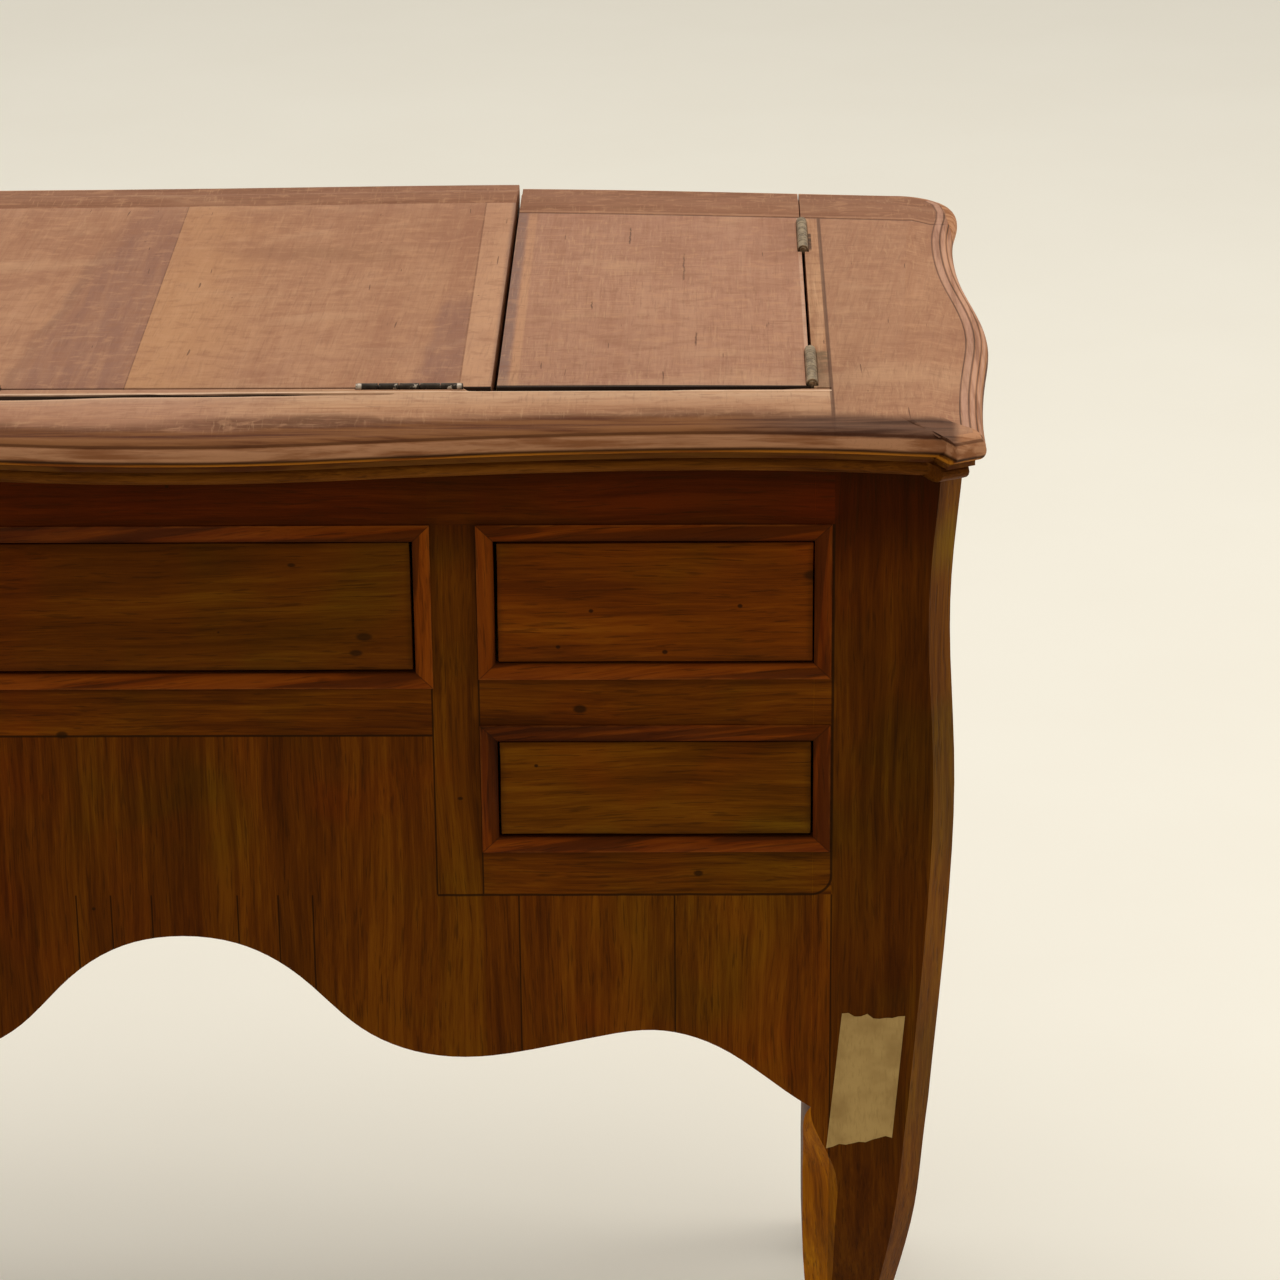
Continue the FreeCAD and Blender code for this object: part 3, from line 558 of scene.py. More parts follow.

# Where the moulding's zones begin and end, from the nosing's top down. The underside, lit and quirk zones
# hold painted light and shade.
worn_zone, painted_underside_zone, lit_zone, quirk_shadow_zone = [
    [nosing_top_z - depth * mm for depth in depths]
    for depths in ((4.4, 3.0), (12.0, 9.8), (14.2, 12.2), (15.6, 14.9))
]


def moulded(s):
    """The moulded edge: worn dark along the hinge side, lined at the ends, a pinkish crown, and painted shade
    and light on the underside below it.
    """
    edges = s.group(edge_group)
    runs = [s.noise(stretch, detail=4, roughness=0.6) for stretch in ((9, 180, 180), (180, 9, 180))]
    drawn = s.blend(edges["End"], *runs)
    sway = wobbly(s, edges["Inset"], 26, 5, (0.5, 1, 1))
    strip = s.times(s.fall(sway, 17 * mm, 25 * mm), edges["Hinges"], s.fall(s.side, 443 * mm, 450 * mm))
    streaks = s.rise(drawn, 0.34, 0.60)
    worn = s.mix(streaks, (78, 32, 4), (126, 78, 40))
    greyed = s.rise(s.side, 290 * mm, 380 * mm)
    worn = s.mix(greyed, worn, s.mix(streaks, (56, 30, 20), (104, 70, 52)))
    flames = s.rise(drawn, 0.36, 0.6)
    uneven = wobbly(s, s.z, 30, 0.7, (0.4, 0.4, 1))
    crown = s.less(s.z, nosing_top_z - 0.05 * mm)
    s.stain(crown, 0.92, s.mix(flames, (146, 92, 56), (190, 136, 98)))
    s.stain(s.times(strip, s.rise(uneven, *worn_zone)), 0.93, worn)
    foot = s.times(s.line(s.z, nosing_top_z - 2.6 * mm, 0.9), edges["Hinges"])
    s.stain(foot, 0.6, (60, 24, 4))
    for lines, strength, dark, light in end_marks:
        mark = s.most(*[s.line(edges["Inset"], inset * mm, width) for inset, width in lines])
        s.stain(s.times(mark, edges["End"]), strength, s.mix(flames, dark, light))
    # The underside is painted: shadow just under the crown, and light lower down as if lit from below
    below = s.mix(flames, (128, 64, 6), (176, 108, 22))
    shadow = s.mix(flames, (46, 20, 1), (72, 38, 4))
    lower = s.mix(s.rise(uneven, *lit_zone), below, shadow)
    s.colour = s.mix(s.fall(uneven, *painted_underside_zone), s.colour, lower)
    # A painted black shadow in the quirk under the nosing
    s.stain(s.fall(s.z, *quirk_shadow_zone), 0.75, (40, 12, 0))


def paint_wall(s):
    """The top of a well's wall: dull beside the hinges, with a dark notch farther back."""
    uneven = wobbly(s, s.y, 9, 3)
    near_patch = s.within(uneven, hinge_y - 2 * mm, hinge_y + 64 * mm, 3)
    s.stain(near_patch, 0.8, (104, 84, 62))
    inner_part = s.less(s.side, wall_x - 5.5 * mm)
    s.stain(s.times(s.within(uneven, 96 * mm, 130 * mm, 1.5), inner_part), 0.85, (34, 22, 18))


def paint_rail(s):
    """The rail along the hinges: pinker to the left, paler and duller before the lids, with a dark drift."""
    sway = wobbly(s, s.x, 60, 22)
    pinker = s.fall(sway, -10 * mm, 90 * mm)
    s.stain(pinker, 0.55, (170, 122, 100))
    before = s.minus(hinge_y, s.y)
    lightened = s.times(s.fall(before, 12 * mm, 32 * mm), s.rise(before, 5 * mm, 9 * mm))
    s.stain(lightened, 0.4, (206, 170, 140))
    s.stain(s.fall(before, 3 * mm, 7 * mm), 0.5, (160, 114, 88))
    edges = s.group(edge_group)
    s.stain(s.fall(edges["Inset"], 28 * mm, 58 * mm), 0.45, (152, 102, 74))
    spread = s.times(s.within(sway, 10 * mm, 115 * mm, 30), 11 * mm)
    reach = wobbly(s, s.minus(edges["Inset"], spread), 14, 6, (0.3, 1, 1))
    drift = s.fall(reach, 18 * mm, 32 * mm)
    streaks = s.noise((8, 170, 170), detail=4, roughness=0.6)
    s.stain(s.times(drift, s.rise(streaks, 0.28, 0.50)), 0.85, (88, 48, 24))


def open_joint(s):
    """The joint before the lids: rubbed pale along its edge, with black painted shadow where it has opened
    and along the worn edge to the right.
    """
    before = s.minus(hinge_y, s.y)
    left = s.fall(s.x, -100 * mm, 140 * mm)
    past_pale = s.minus(before, s.math("MULTIPLY_ADD", left, 2.8 * mm, 5.2 * mm))
    ragged = s.noise((60, 0, 0))
    pale = s.times(s.line(past_pale, 0.0, 1.2), s.blend(s.rise(ragged, 0.3, 0.6), 0.5, 1.0))
    s.stain(pale, 0.8, (232, 198, 166))
    in_centre = s.rise(s.side, lid_edge_x, lid_edge_x - 2 * mm)
    width = s.math("MULTIPLY_ADD", s.fall(s.x, 30 * mm, 125 * mm), 1.8 * mm, 0.8 * mm)
    from_black = s.abs(s.minus(past_pale, 3.9 * mm))
    opened = s.fall(s.minus(from_black, width), -0.5 * mm, 0.5 * mm)
    opened = s.times(opened, in_centre, s.fall(s.x, 105 * mm, 130 * mm))
    low_pale = s.times(s.line(past_pale, 7.6 * mm, 1.3), in_centre, s.fall(s.x, 40 * mm, 100 * mm))
    s.stain(low_pale, 0.5, (224, 186, 154))
    limit = s.minus(4.4 * mm, s.times(s.rise(s.side, 250 * mm, 400 * mm), 3.2 * mm))
    right = s.fall(s.minus(before, limit), -0.5 * mm, 0.5 * mm)
    right = s.times(right, s.rise(s.side, 168 * mm, 175 * mm), s.less(s.side, wall_x - 10 * mm))
    # Painted shadow: black in the opened groove and along the worn edge
    s.stain(s.most(opened, right), 0.96, (20, 9, 6))


def paint_centre_lid(s):
    """Two veneer leaves that meet on a line, a dark flame on each, and a lighter strip at each side."""
    sway = wobbly(s, s.x, 45, 9)
    left_leaf = s.fall(s.x, veneer_seam_x, veneer_seam_x + 0.4 * mm)
    left_side = s.minus(sway, s.times(s.y, 0.10))
    first = s.times(s.rise(left_side, -90 * mm, -74 * mm), left_leaf, s.fall(s.y, 130 * mm, 230 * mm))
    right_side = s.minus(sway, s.times(s.y, 0.07))
    second = s.times(s.rise(right_side, 143 * mm, 150 * mm), s.less(s.x, strip_seam_x),
                    s.fall(s.y, -30 * mm, 20 * mm))
    streaks = s.noise((120, 9, 9), detail=4, distortion=0.5)
    flame = s.times(s.most(first, second), s.blend(s.rise(streaks, 0.3, 0.6), 0.5, 1.0))
    s.stain(flame, 0.8, (138, 96, 80))
    edge = s.times(s.within(left_side, -89 * mm, -82 * mm, 3), s.rise(s.y, 190 * mm, 40 * mm))
    s.stain(edge, 0.45, (128, 90, 74))
    wave = wobbly(s, s.y, 55, 16)
    band = s.times(s.within(wave, 78 * mm, 104 * mm, 9), s.within(sway, 10 * mm, 110 * mm, 20))
    s.stain(band, 0.4, (142, 98, 70))
    warm = s.times(s.inverse(left_leaf), s.fall(sway, -20 * mm, 60 * mm))
    s.stain(warm, 0.45, (196, 144, 98))
    s.stain(s.line(s.x, veneer_seam_x, 0.5), 0.5, (92, 58, 42))
    s.stain(s.rise(s.side, strip_seam_x, strip_seam_x + 0.6 * mm), 0.45, (208, 160, 124))
    s.stain(s.line(s.side, strip_seam_x, 0.7), 0.6, (120, 80, 58))
    s.stain(s.rise(s.side, 178.5 * mm, 182 * mm), 0.7, (122, 92, 80))
    # Painted shadow: black along the gap at the lid's hinge edge, fainter to the left
    foot = s.fall(s.y, hinge_y + 2.6 * mm, hinge_y + 3.8 * mm)
    foot = s.times(foot, s.blend(s.rise(s.x, 120 * mm, 172 * mm), 0.3, 1.0))
    age_top(s, hairs=0.55)
    moulded(s)
    s.stain(foot, 0.96, black_shadow)


def paint_side_lid(s):
    """A pinkish field with a grey strip beside the centre lid and a few short cracks."""
    grey = s.fall(s.side, side_lid_x + 4.5 * mm, side_lid_x + 7.5 * mm)
    s.stain(grey, 0.8, (134, 104, 94))
    light = s.within(s.side, side_lid_x + 7 * mm, side_lid_x + 12 * mm, 1.0)
    s.stain(light, 0.5, (204, 152, 112))
    dusty = s.fall(s.y, hinge_y + 3 * mm, hinge_y + 14 * mm)
    s.stain(dusty, 0.35, (150, 112, 96))
    # Painted shadow: black along the gap at the lid's hinge edge, wider towards the centre lid
    foot_y = s.minus(s.y, s.times(s.rise(s.side, 420 * mm, 250 * mm), 2.2 * mm))
    foot = s.fall(foot_y, hinge_y + 2.2 * mm, hinge_y + 3.4 * mm)
    rubbed = s.line(s.side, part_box("right_lid_panel")[1].x - 1.2 * mm, 1.3)
    s.stain(rubbed, 0.5, (216, 178, 152))
    sway = wobbly(s, s.side, 12, 1.2)
    cracks = []
    for crack_x, start_y, end_y in side_lid_cracks:
        run = s.within(s.y, start_y * mm, end_y * mm, 3)
        cracks.append(s.times(s.line(sway, crack_x * mm, 0.7), run))
    s.stain(s.most(*cracks), 0.75, (74, 44, 34))
    age_top(s)
    moulded(s)
    s.stain(foot, 0.96, black_shadow)


# The two faces
face_tones = ((71, 29, 3), (100, 48, 4), (125, 68, 8))
drawer_tones = {
    "centre": ((76, 34, 3), (95, 46, 4), (113, 62, 8)),
    "upper": ((87, 36, 4), (115, 53, 5), (137, 71, 11)),
    "lower": ((77, 38, 3), (102, 54, 4), (122, 72, 9)),
}
band_tones = ((89, 32, 4), (114, 49, 6), (140, 67, 11))
face_look = {
    "pores": 0.42, "wander": 16.0 * mm, "gloss": (0.4, 0.6), "relief": 0.4,
    "dark": (34, 13, 3), "sheen": 0.12, "sheen_tint": (1.0, 0.5, 0.1, 1.0),
}
# The worn look darkens its hollows with grime and painted shade, and lightens its rubbed arrises
worn_look = {**face_look, "rub": 0.4, "dirt": 0.6, "rubbed": (128, 80, 30)}


def cloudy(s):
    """Redder and more olive clouds, as oil and smoke leave them."""
    cloud = s.noise(7.0, distortion=0.4)
    s.shade(s.rise(cloud, 0.48, 0.66), (0.84, 1.10, 0.9))
    s.shade(s.rise(cloud, 0.46, 0.30), (1.12, 0.88, 1.0))


def face_seams(s):
    """The joints and veneer seams of a face, as one mask."""
    below = s.less(s.z, low_rail_z)
    seams = [s.times(s.line(s.side, e, 0.6), below) for e in leaf_edges]
    turn = 12 * mm
    sway = wobbly(s, s.z, 20, 0.5)
    corner_x = s.most(s.minus(s.side, band_outer_x + 1.0 * mm - turn), 0.0)
    corner_z = s.most(s.minus(low_rail_z + turn, sway), 0.0)
    reach = distance(s, corner_x, corner_z)
    past_stile = s.more(s.side, stile_inner_x)
    seams.append(s.times(s.line(reach, turn, 1.0), past_stile, s.less(s.z, band_top_z)))
    seams.append(s.times(s.line(s.z, centre_rail_z, 0.9), s.less(s.side, stile_inner_x)))
    upright = s.most(s.line(s.side, stile_inner_x, 0.7), s.line(s.side, stile_outer_x, 0.6))
    seams.append(s.times(upright, s.within(s.z, low_rail_z, band_top_z, 0.5)))
    on_face = s.more(s.abs(s.y), abs(face_y) - 1.0 * mm)
    return s.times(s.most(*seams), on_face)


def face_material():
    """The face frame, apron and legs: upright leaves below, boards laid flat round the drawers."""
    material, s = new_material("case_walnut")
    upright = grain_along(s, along_z, 0.3, face_look)
    flat = grain_along(s, along_x, 0.8, face_look)
    below = s.less(s.side, leg_seam_x)
    frieze = s.times(below, s.more(s.z, band_top_z))
    centre = s.times(s.less(s.side, stile_inner_x), s.more(s.z, centre_rail_z))
    bay = s.times(below, s.more(s.side, stile_outer_x), s.more(s.z, low_rail_z))
    lying = s.most(frieze, centre, bay)
    grain, tone = two_ways(s, lying, upright, flat)
    s.colour = s.ramp(tone, zip(tone_places, face_tones))
    cloudy(s)
    leaves = [(edge, (light, light, light, 1.0)) for edge, light in zip([0.0] + leaf_edges, leaf_shades)]
    shades = s.ramp(s.side, leaves, "CONSTANT")
    s.colour = s.mix(s.inverse(lying), s.colour, s.mix(1.0, s.colour, shades, "MULTIPLY"))
    s.shade(s.within(s.side, stile_inner_x, stile_outer_x, 0.3), (1.02, 1.12, 1.0))
    # Painted shadow under the overhanging top: darker upwards, more so towards the ends, and most just under
    # the bead
    s.shade(s.rise(s.z, *shade_under_top_z), (0.55, 0.26, 0.3))
    s.shade(s.times(s.rise(s.side, 60 * mm, 400 * mm), s.rise(s.z, *shade_under_top_z)), (0.74, 0.72, 0.8))
    s.shade(s.rise(s.z, 706 * mm, 727 * mm), (0.66, 0.60, 0.6))
    # Darker just outside the bands: grime and painted shade beside them
    from_opening = wobbly(s, s.group(opening_group)["Distance"], 25, 1.5)
    dirt = s.fall(from_opening, band_width + 1.0 * mm, band_width + 7.0 * mm)
    s.shade(dirt, (0.70, 0.66, 0.7))
    s.stain(face_seams(s), 0.85, (24, 9, 3))
    knots = round_marks(s, face_knots, 1.5)
    s.stain(s.most(wormholes(s, 34.0, 0.84), knots), 0.8, (24, 11, 4))
    facing = s.split(s.add("TexCoord", {}).outputs["Normal"])
    outward = s.times(facing[0], s.math("SIGN", s.x))
    forward = s.abs(facing[1])
    canted = s.rise(forward, 0.5, 0.62)
    lit_outer_cant = s.times(s.rise(outward, 0.5, 0.62), canted)
    lit_inner_cant = s.times(s.rise(outward, -0.4, -0.55), canted)
    # Painted highlight: the legs' canted corners are lighter where they face the light, even within the
    # painted shadow under the top
    s.shade(lit_outer_cant, (1.6, 1.95, 0.3))
    s.shade(s.times(lit_outer_cant, s.rise(s.z, *shade_under_top_z)), (2.0, 4.2, 2.0))
    s.shade(lit_inner_cant, (2.7, 3.4, 0.5))
    dress(s, grain, tone, face_look)
    return material


def paint_drawer(s):
    cloudy(s)
    # Darker towards the front's edges: grime and painted shade beside the gap
    inside = wobbly(s, s.group(opening_group)["Distance"], 18, 2.0)
    s.shade(s.rise(inside, -6.0 * mm, -1.2 * mm), (0.66, 0.66, 0.7))
    s.stain(round_marks(s, drawer_knots, 1.9), 0.75, (30, 14, 5))
    s.stain(round_marks(s, drawer_specks, 1.2), 0.85, (26, 10, 4))
    s.stain(wormholes(s, 45.0, 0.86), 0.8, (26, 11, 4))


def flame_figure(s, lean):
    """Long tapered flames that lie at a small angle to a strip."""
    return s.noise((7, 40, 115), detail=1, distortion=0.5, vector=s.turned((0, lean, 0)))


def band_material():
    """Strips of veneer round the drawers, mitred at the corners, darker beside the drawer with grime and
    painted shade, and a painted highlight along the outer edge.
    """
    material, s = new_material("band_walnut")
    opening = s.group(opening_group)
    upright = opening["Upright"]
    lying_grain = grain_along(s, (0, 7, 0), 7.0, face_look)
    standing_grain = grain_along(s, (0, 92, 0), 7.7, face_look)
    grain, tone = two_ways(s, upright, lying_grain, standing_grain)
    s.colour = s.ramp(tone, zip(tone_places, band_tones))
    flames = s.blend(upright, flame_figure(s, 6), flame_figure(s, 86))
    s.stain(s.rise(flames, 0.47, 0.55), 0.75, (66, 25, 5))
    s.stain(s.rise(flames, 0.43, 0.35), 0.4, (130, 62, 12))
    # Darker beside the drawer: grime and painted shade at the gap's edge
    dirt = s.fall(opening["Distance"], 0.4 * mm, 2.6 * mm)
    s.shade(dirt, (0.6, 0.55, 0.6))
    s.stain(opening["Mitre"], 0.6, (40, 16, 5))
    # A patchy painted highlight along the band's proud outer edge
    outer_highlight = s.rise(opening["Distance"], band_width - 1.4 * mm, band_width - 0.6 * mm)
    highlight_breaks = s.noise(40.0)
    s.stain(s.times(outer_highlight, s.rise(highlight_breaks, 0.4, 0.6)), 0.4, (140, 74, 22))
    dress(s, grain, tone, face_look)
    return material


# Metal, glass and tape
def paint_hinges(s):
    """The hinges of the centre lid are nearly black with age and painted shade, with pale rubbed spots and
    painted highlights at their ends.
    """
    blotch = s.noise(180.0)
    centre = s.less(s.side, lid_edge_x)
    s.stain(centre, 0.93, (22, 17, 16))
    outer_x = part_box("centre_lid_hinge_leaves")[1].x
    ends = s.most(s.line(s.side, outer_x - 1.0 * mm, 1.8), s.line(s.side, outer_x - 59 * mm, 1.8))
    # Pale rubbed spots, and painted highlights at the hinges' ends
    rubbed = s.times(centre, s.most(s.times(ends, s.rise(blotch, 0.3, 0.5)), s.rise(blotch, 0.56, 0.64)))
    s.stain(rubbed, 0.75, (186, 172, 158))


def brass(name, dull, bright, tarnish, *layers):
    material, s = new_material(name)
    blotch = s.noise(260.0, detail=4, roughness=0.65)
    wear = s.group(wear_group, Radius=0.6 * mm, Reach=4.0 * mm)
    s.colour = s.mix(s.rise(blotch, 0.35, 0.65), dull, bright)
    s.stain(wear["Edge"], 0.5, bright)
    s.stain(wear["GrimeAndShade"], 0.8, tarnish)
    for paint in layers:
        paint(s)
    fine = s.noise(1400.0, detail=2)
    bump = s.add("Bump", {"Height": fine, "Strength": 0.3, "Distance": 0.2 * mm, "Normal": wear["Normal"]})
    s.finish({"Roughness": s.blend(blotch, 0.55, 0.35), "Normal": bump.outputs[0], "Metallic": 0.85})
    return material


def mirror_material():
    """Old silvering: clear in the middle, foxed towards the frame."""
    material, s = new_material("silvered_glass")
    spots = s.noise(90.0, detail=5, roughness=0.7)
    fog = s.noise(12.0)
    foxing = s.times(s.rise(spots, 0.58, 0.68), s.rise(fog, 0.5, 0.7))
    s.colour = s.mix(foxing, (232, 234, 232), (96, 88, 76))
    s.finish({"Roughness": s.blend(foxing, 0.03, 0.4), "Metallic": 1.0})
    return material


def tape_material():
    """Creped paper tape, stained darker where the glue shows through."""
    material, s = new_material("paper_tape")
    crepe = s.noise((900, 900, 160))
    glue = s.noise(45.0)
    s.colour = s.mix(s.rise(glue, 0.35, 0.7), (184, 150, 88), (160, 126, 68))
    s.stain(s.rise(crepe, 0.5, 0.7), 0.3, (138, 106, 54))
    bump = s.add("Bump", {"Height": crepe, "Strength": 0.5, "Distance": 0.15 * mm})
    s.finish({"Roughness": s.blend(crepe, 0.75, 0.9), "Normal": bump.outputs[0]})
    return material


inner_tones = ((140, 102, 60), (168, 128, 80), (188, 150, 102))
inner_look = {
    **worn_look, "pores": 0.2, "rub": 0.2, "gloss": (0.6, 0.8), "dark": (84, 58, 34),
    "rubbed": (190, 150, 104), "sheen_tint": (1.0, 0.9, 0.7, 1.0),
}
bead_tones = ((62, 28, 4), (92, 48, 8), (118, 68, 18))

# What each wood finish says to wood() after its name: tones, turn and shift of the grain, look and layers
woods = {
    "centre_lid": (top_tones, (0, 0, -87), 0.0, top_look, paint_centre_lid),
    "side_lid": (pink_tones, (0, 0, -89), 1.3, top_look, paint_side_lid),
    "side_board": (top_tones, (0, 0, -83), 2.1, top_look, age_top, moulded),
    "rail": (rail_tones, along_x, 2.9, top_look, paint_rail, age_across, moulded, open_joint),
    "strip": (strip_tones, along_x, 3.7, top_look, age_across, moulded),
    "wall": (rail_tones, along_y, 4.6, top_look, paint_wall, age_top, moulded),
    "bead": (bead_tones, along_x, 0.4, {**worn_look, "dirt": 0.2}),
    "side": (face_tones, along_z, 5.2, worn_look, cloudy),
    "inner_y": (inner_tones, along_y, 8.2, inner_look),
    "inner_x": (inner_tones, along_x, 8.8, inner_look),
    "frame": (face_tones, along_x, 9.4, worn_look),
    "centre_drawer": (drawer_tones["centre"], (0, 1.5, 0), 6.1, face_look, paint_drawer),
    "upper_drawer": (drawer_tones["upper"], (0, 1.5, 0), 6.41, face_look, paint_drawer),
    "lower_drawer": (drawer_tones["lower"], (0, 1.5, 0), 6.72, face_look, paint_drawer),
}


def make_finishes():
    finishes = {name: wood(name + "_wood", *given) for name, given in woods.items()}
    return {
        **finishes,
        "face": face_material(),
        "band": band_material(),
        "hinge": brass("hinge_brass", (104, 86, 66), (156, 136, 110), (30, 22, 16), paint_hinges),
        "knob": brass("knob_brass", (132, 98, 46), (190, 150, 84), (52, 36, 18)),
        "screw": brass("screw_steel", (110, 106, 98), (160, 156, 146), (40, 36, 30)),
        "mirror": mirror_material(),
        "tape": tape_material(),
    }


# Making pieces
def activate(piece):
    bpy.ops.object.select_all(action="DESELECT")
    piece.select_set(True)
    bpy.context.view_layer.objects.active = piece


def copy_of(node, name):
    """A merged copy of a frame node with clean flat faces, ready to be shaped further."""
    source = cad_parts[node]
    piece = source.copy()
    piece.data = source.data.copy()
    piece.name = name
    bpy.context.collection.objects.link(piece)
    piece.parent = None
    piece.matrix_world = Matrix.Identity(4)
    activate(piece)
    bpy.ops.object.mode_set(mode="EDIT")
    bpy.ops.mesh.select_all(action="SELECT")
    bpy.ops.mesh.remove_doubles(threshold=0.01 * mm)
    bpy.ops.mesh.customdata_custom_splitnormals_clear()
    bpy.ops.mesh.dissolve_limited(angle_limit=math.radians(0.6))
    bpy.ops.object.mode_set(mode="OBJECT")
    return piece


def sliced(piece, axis, start, end, count):
    """Cuts a piece across one axis, so that it can bend."""
    direction = Vector((axis == "X", axis == "Y", axis == "Z"))
    activate(piece)
    bpy.ops.object.mode_set(mode="EDIT")
    for k in range(1, count):
        bpy.ops.mesh.select_all(action="SELECT")
        place = direction * (start + (end - start) * k / count)
        bpy.ops.mesh.bisect(plane_co=place, plane_no=direction)
    bpy.ops.object.mode_set(mode="OBJECT")


def eased(piece, width, segments=2):
    """Takes the sharpness off the arrises."""
    activate(piece)
    bevel = piece.modifiers.new("eased", "BEVEL")
    bevel.width = width
    bevel.segments = segments
    bevel.limit_method = "ANGLE"
    bevel.angle_limit = math.radians(50)
    bpy.ops.object.modifier_apply(modifier=bevel.name)
    bpy.ops.object.shade_smooth_by_angle(angle=math.radians(32))


def finish_piece(piece, body, slot, material, *nodes):
    piece.data.materials.clear()
    piece.data.materials.append(material)
    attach(piece, body)
    if nodes:
        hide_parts(*nodes)


def worn_piece(node, body, slot, material, width, bend=None, ending="_worn", segments=2):
    """A copy of a frame node, bent where that is given, with its arrises eased by a width in millimetres."""
    piece = copy_of(node, node + ending)
    if bend:
        bend(piece, *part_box(node))
    eased(piece, width * mm, segments)
    finish_piece(piece, body, slot, material, node)


def warp_lid(piece, low, high):
    """The centre lid has lifted towards its far right corner and shrunk a little along its right edge."""
    sliced(piece, "X", low.x, high.x, 16)
    sliced(piece, "Y", low.y, high.y, 12 if piece.name.startswith("centre_lid_panel") else 2)
    reach_x, reach_y = lid_edge_x + 100 * mm, cad_high.y - hinge_y
    under_z = top_z - 22 * mm
    for vertex in piece.data.vertices:
        along = max(0.0, (vertex.co.x + 100 * mm) / reach_x)
        away = max(0.0, (vertex.co.y - hinge_y) / reach_y)
        height = max(0.0, (vertex.co.z - under_z) / (top_z - under_z))
        vertex.co.z += lid_lift * along ** 1.3 * away * mm * height
        if vertex.co.x > lid_edge_x - 1.0 * mm:
            vertex.co.x -= (1.5 - 1.0 * away) * mm


def open_rail(piece, low, high):
    """The rail has come away from the lids: a groove along its left part, a worn edge along its right."""
    sliced(piece, "X", low.x, high.x, 48)
    sliced(piece, "Y", hinge_y - 15 * mm, hinge_y, 12)
    for vertex in piece.data.vertices:
        x, before = vertex.co.x, hinge_y - vertex.co.y
        if vertex.co.z < top_z - 0.2 * mm or before > 15 * mm:
            continue
        left = min(1.0, max(0.0, (140 * mm - x) / (240 * mm)))
        groove_place = (9.1 + 2.8 * left * left * (3 - 2 * left)) * mm
        width = (0.6 + 1.7 * min(1.0, max(0.0, (125 * mm - x) / (85 * mm)))) * mm
        in_groove = -lid_edge_x < x < 125 * mm
        groove = max(0.0, 1.0 - abs(before - groove_place) / width) if in_groove else 0.0
        limit = (4.8 - 3.2 * min(1.0, max(0.0, (abs(x) - 250 * mm) / (150 * mm)))) * mm
        edge = max(0.0, 1.0 - before / limit) if abs(x) > 172 * mm else 0.0
        vertex.co.z -= (groove_depth * groove + edge_depth * edge) * mm


# The top's pieces: frame node, body, finish, and how it has bent
top_pieces = (
    ("centre_lid_panel", "centre_lid", "centre_lid", warp_lid),
    ("centre_lid_lipping", "centre_lid", "strip", warp_lid),
    ("left_lid_panel", "left_lid", "side_lid", None), ("left_lid_lipping", "left_lid", "strip", None),
    ("right_lid_panel", "right_lid", "side_lid", None), ("right_lid_lipping", "right_lid", "strip", None),
    ("top_board_left", "case", "side_board", None), ("top_board_right", "case", "side_board", None),
    ("top_end_strips", "case", "strip", None), ("top_hinge_rail", "case", "rail", open_rail),
    ("well_walls", "case", "wall", None),
)


def make_top(finishes):
    for node, body, finish, bend in top_pieces:
        worn_piece(node, body, "top_walnut", finishes[finish], 0.4 if body == "case" else 0.5, bend)


def loose_edges(piece, low, high, reach, size, seed):
    """Moves the outline of a drawer's front a little, as one cut by hand."""
    for vertex in piece.data.vertices:
        sway = noise.noise_vector(Vector((vertex.co.x, seed, vertex.co.z)) / size) * reach
        for k, low_share in ((0, 1.0), (2, 0.5)):
            if abs(vertex.co[k] - low[k]) < reach:
                vertex.co[k] += abs(sway[k]) * low_share
            if abs(vertex.co[k] - high[k]) < reach:
                vertex.co[k] -= abs(sway[k])


# Each drawer sits a little askew: shifts along X and Z, and the lift of its right end, in millimetres
askew = {
    "centre": (-0.25, 0.35, 0.3), "upper_left": (-0.4, 0.1, 0.2), "upper_right": (0.55, -0.2, 0.15),
    "lower_left": (0.3, 0.3, -0.2), "lower_right": (0.1, 0.45, 0.1),
}


def make_drawer_fronts(finishes):
    for seed, (name, (shift_x, shift_z, lift)) in enumerate(askew.items()):
        finish = finishes[name.split("_")[0] + "_drawer"]
        for face in ("hinge_side", "sitter_side"):
            node = f"{name}_drawer_{face}_front"
            piece = copy_of(node, node + "_worn")
            low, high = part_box(node)
            sliced(piece, "X", low.x, high.x, 12)
            sliced(piece, "Z", low.z, high.z, 5)
            loose_edges(piece, low, high, 0.9 * mm, 40 * mm, seed * 3.7)
            for vertex in piece.data.vertices:
                along = (vertex.co.x * 2 - low.x - high.x) / (high.x - low.x)
                vertex.co += Vector((shift_x, 0.0, shift_z + lift * along)) * mm
            eased(piece, 0.7 * mm)
            finish_piece(piece, name + "_drawer", "drawer_front_walnut", finish, node)


# Corners of the tape, as X and Z in millimetres: the lower two, then the upper two
tape_corners = [Vector(spot) for spot in ((377.0, 284.4), (417.0, 292.7), (385.9, 378.6), (423.7, 375.9))]


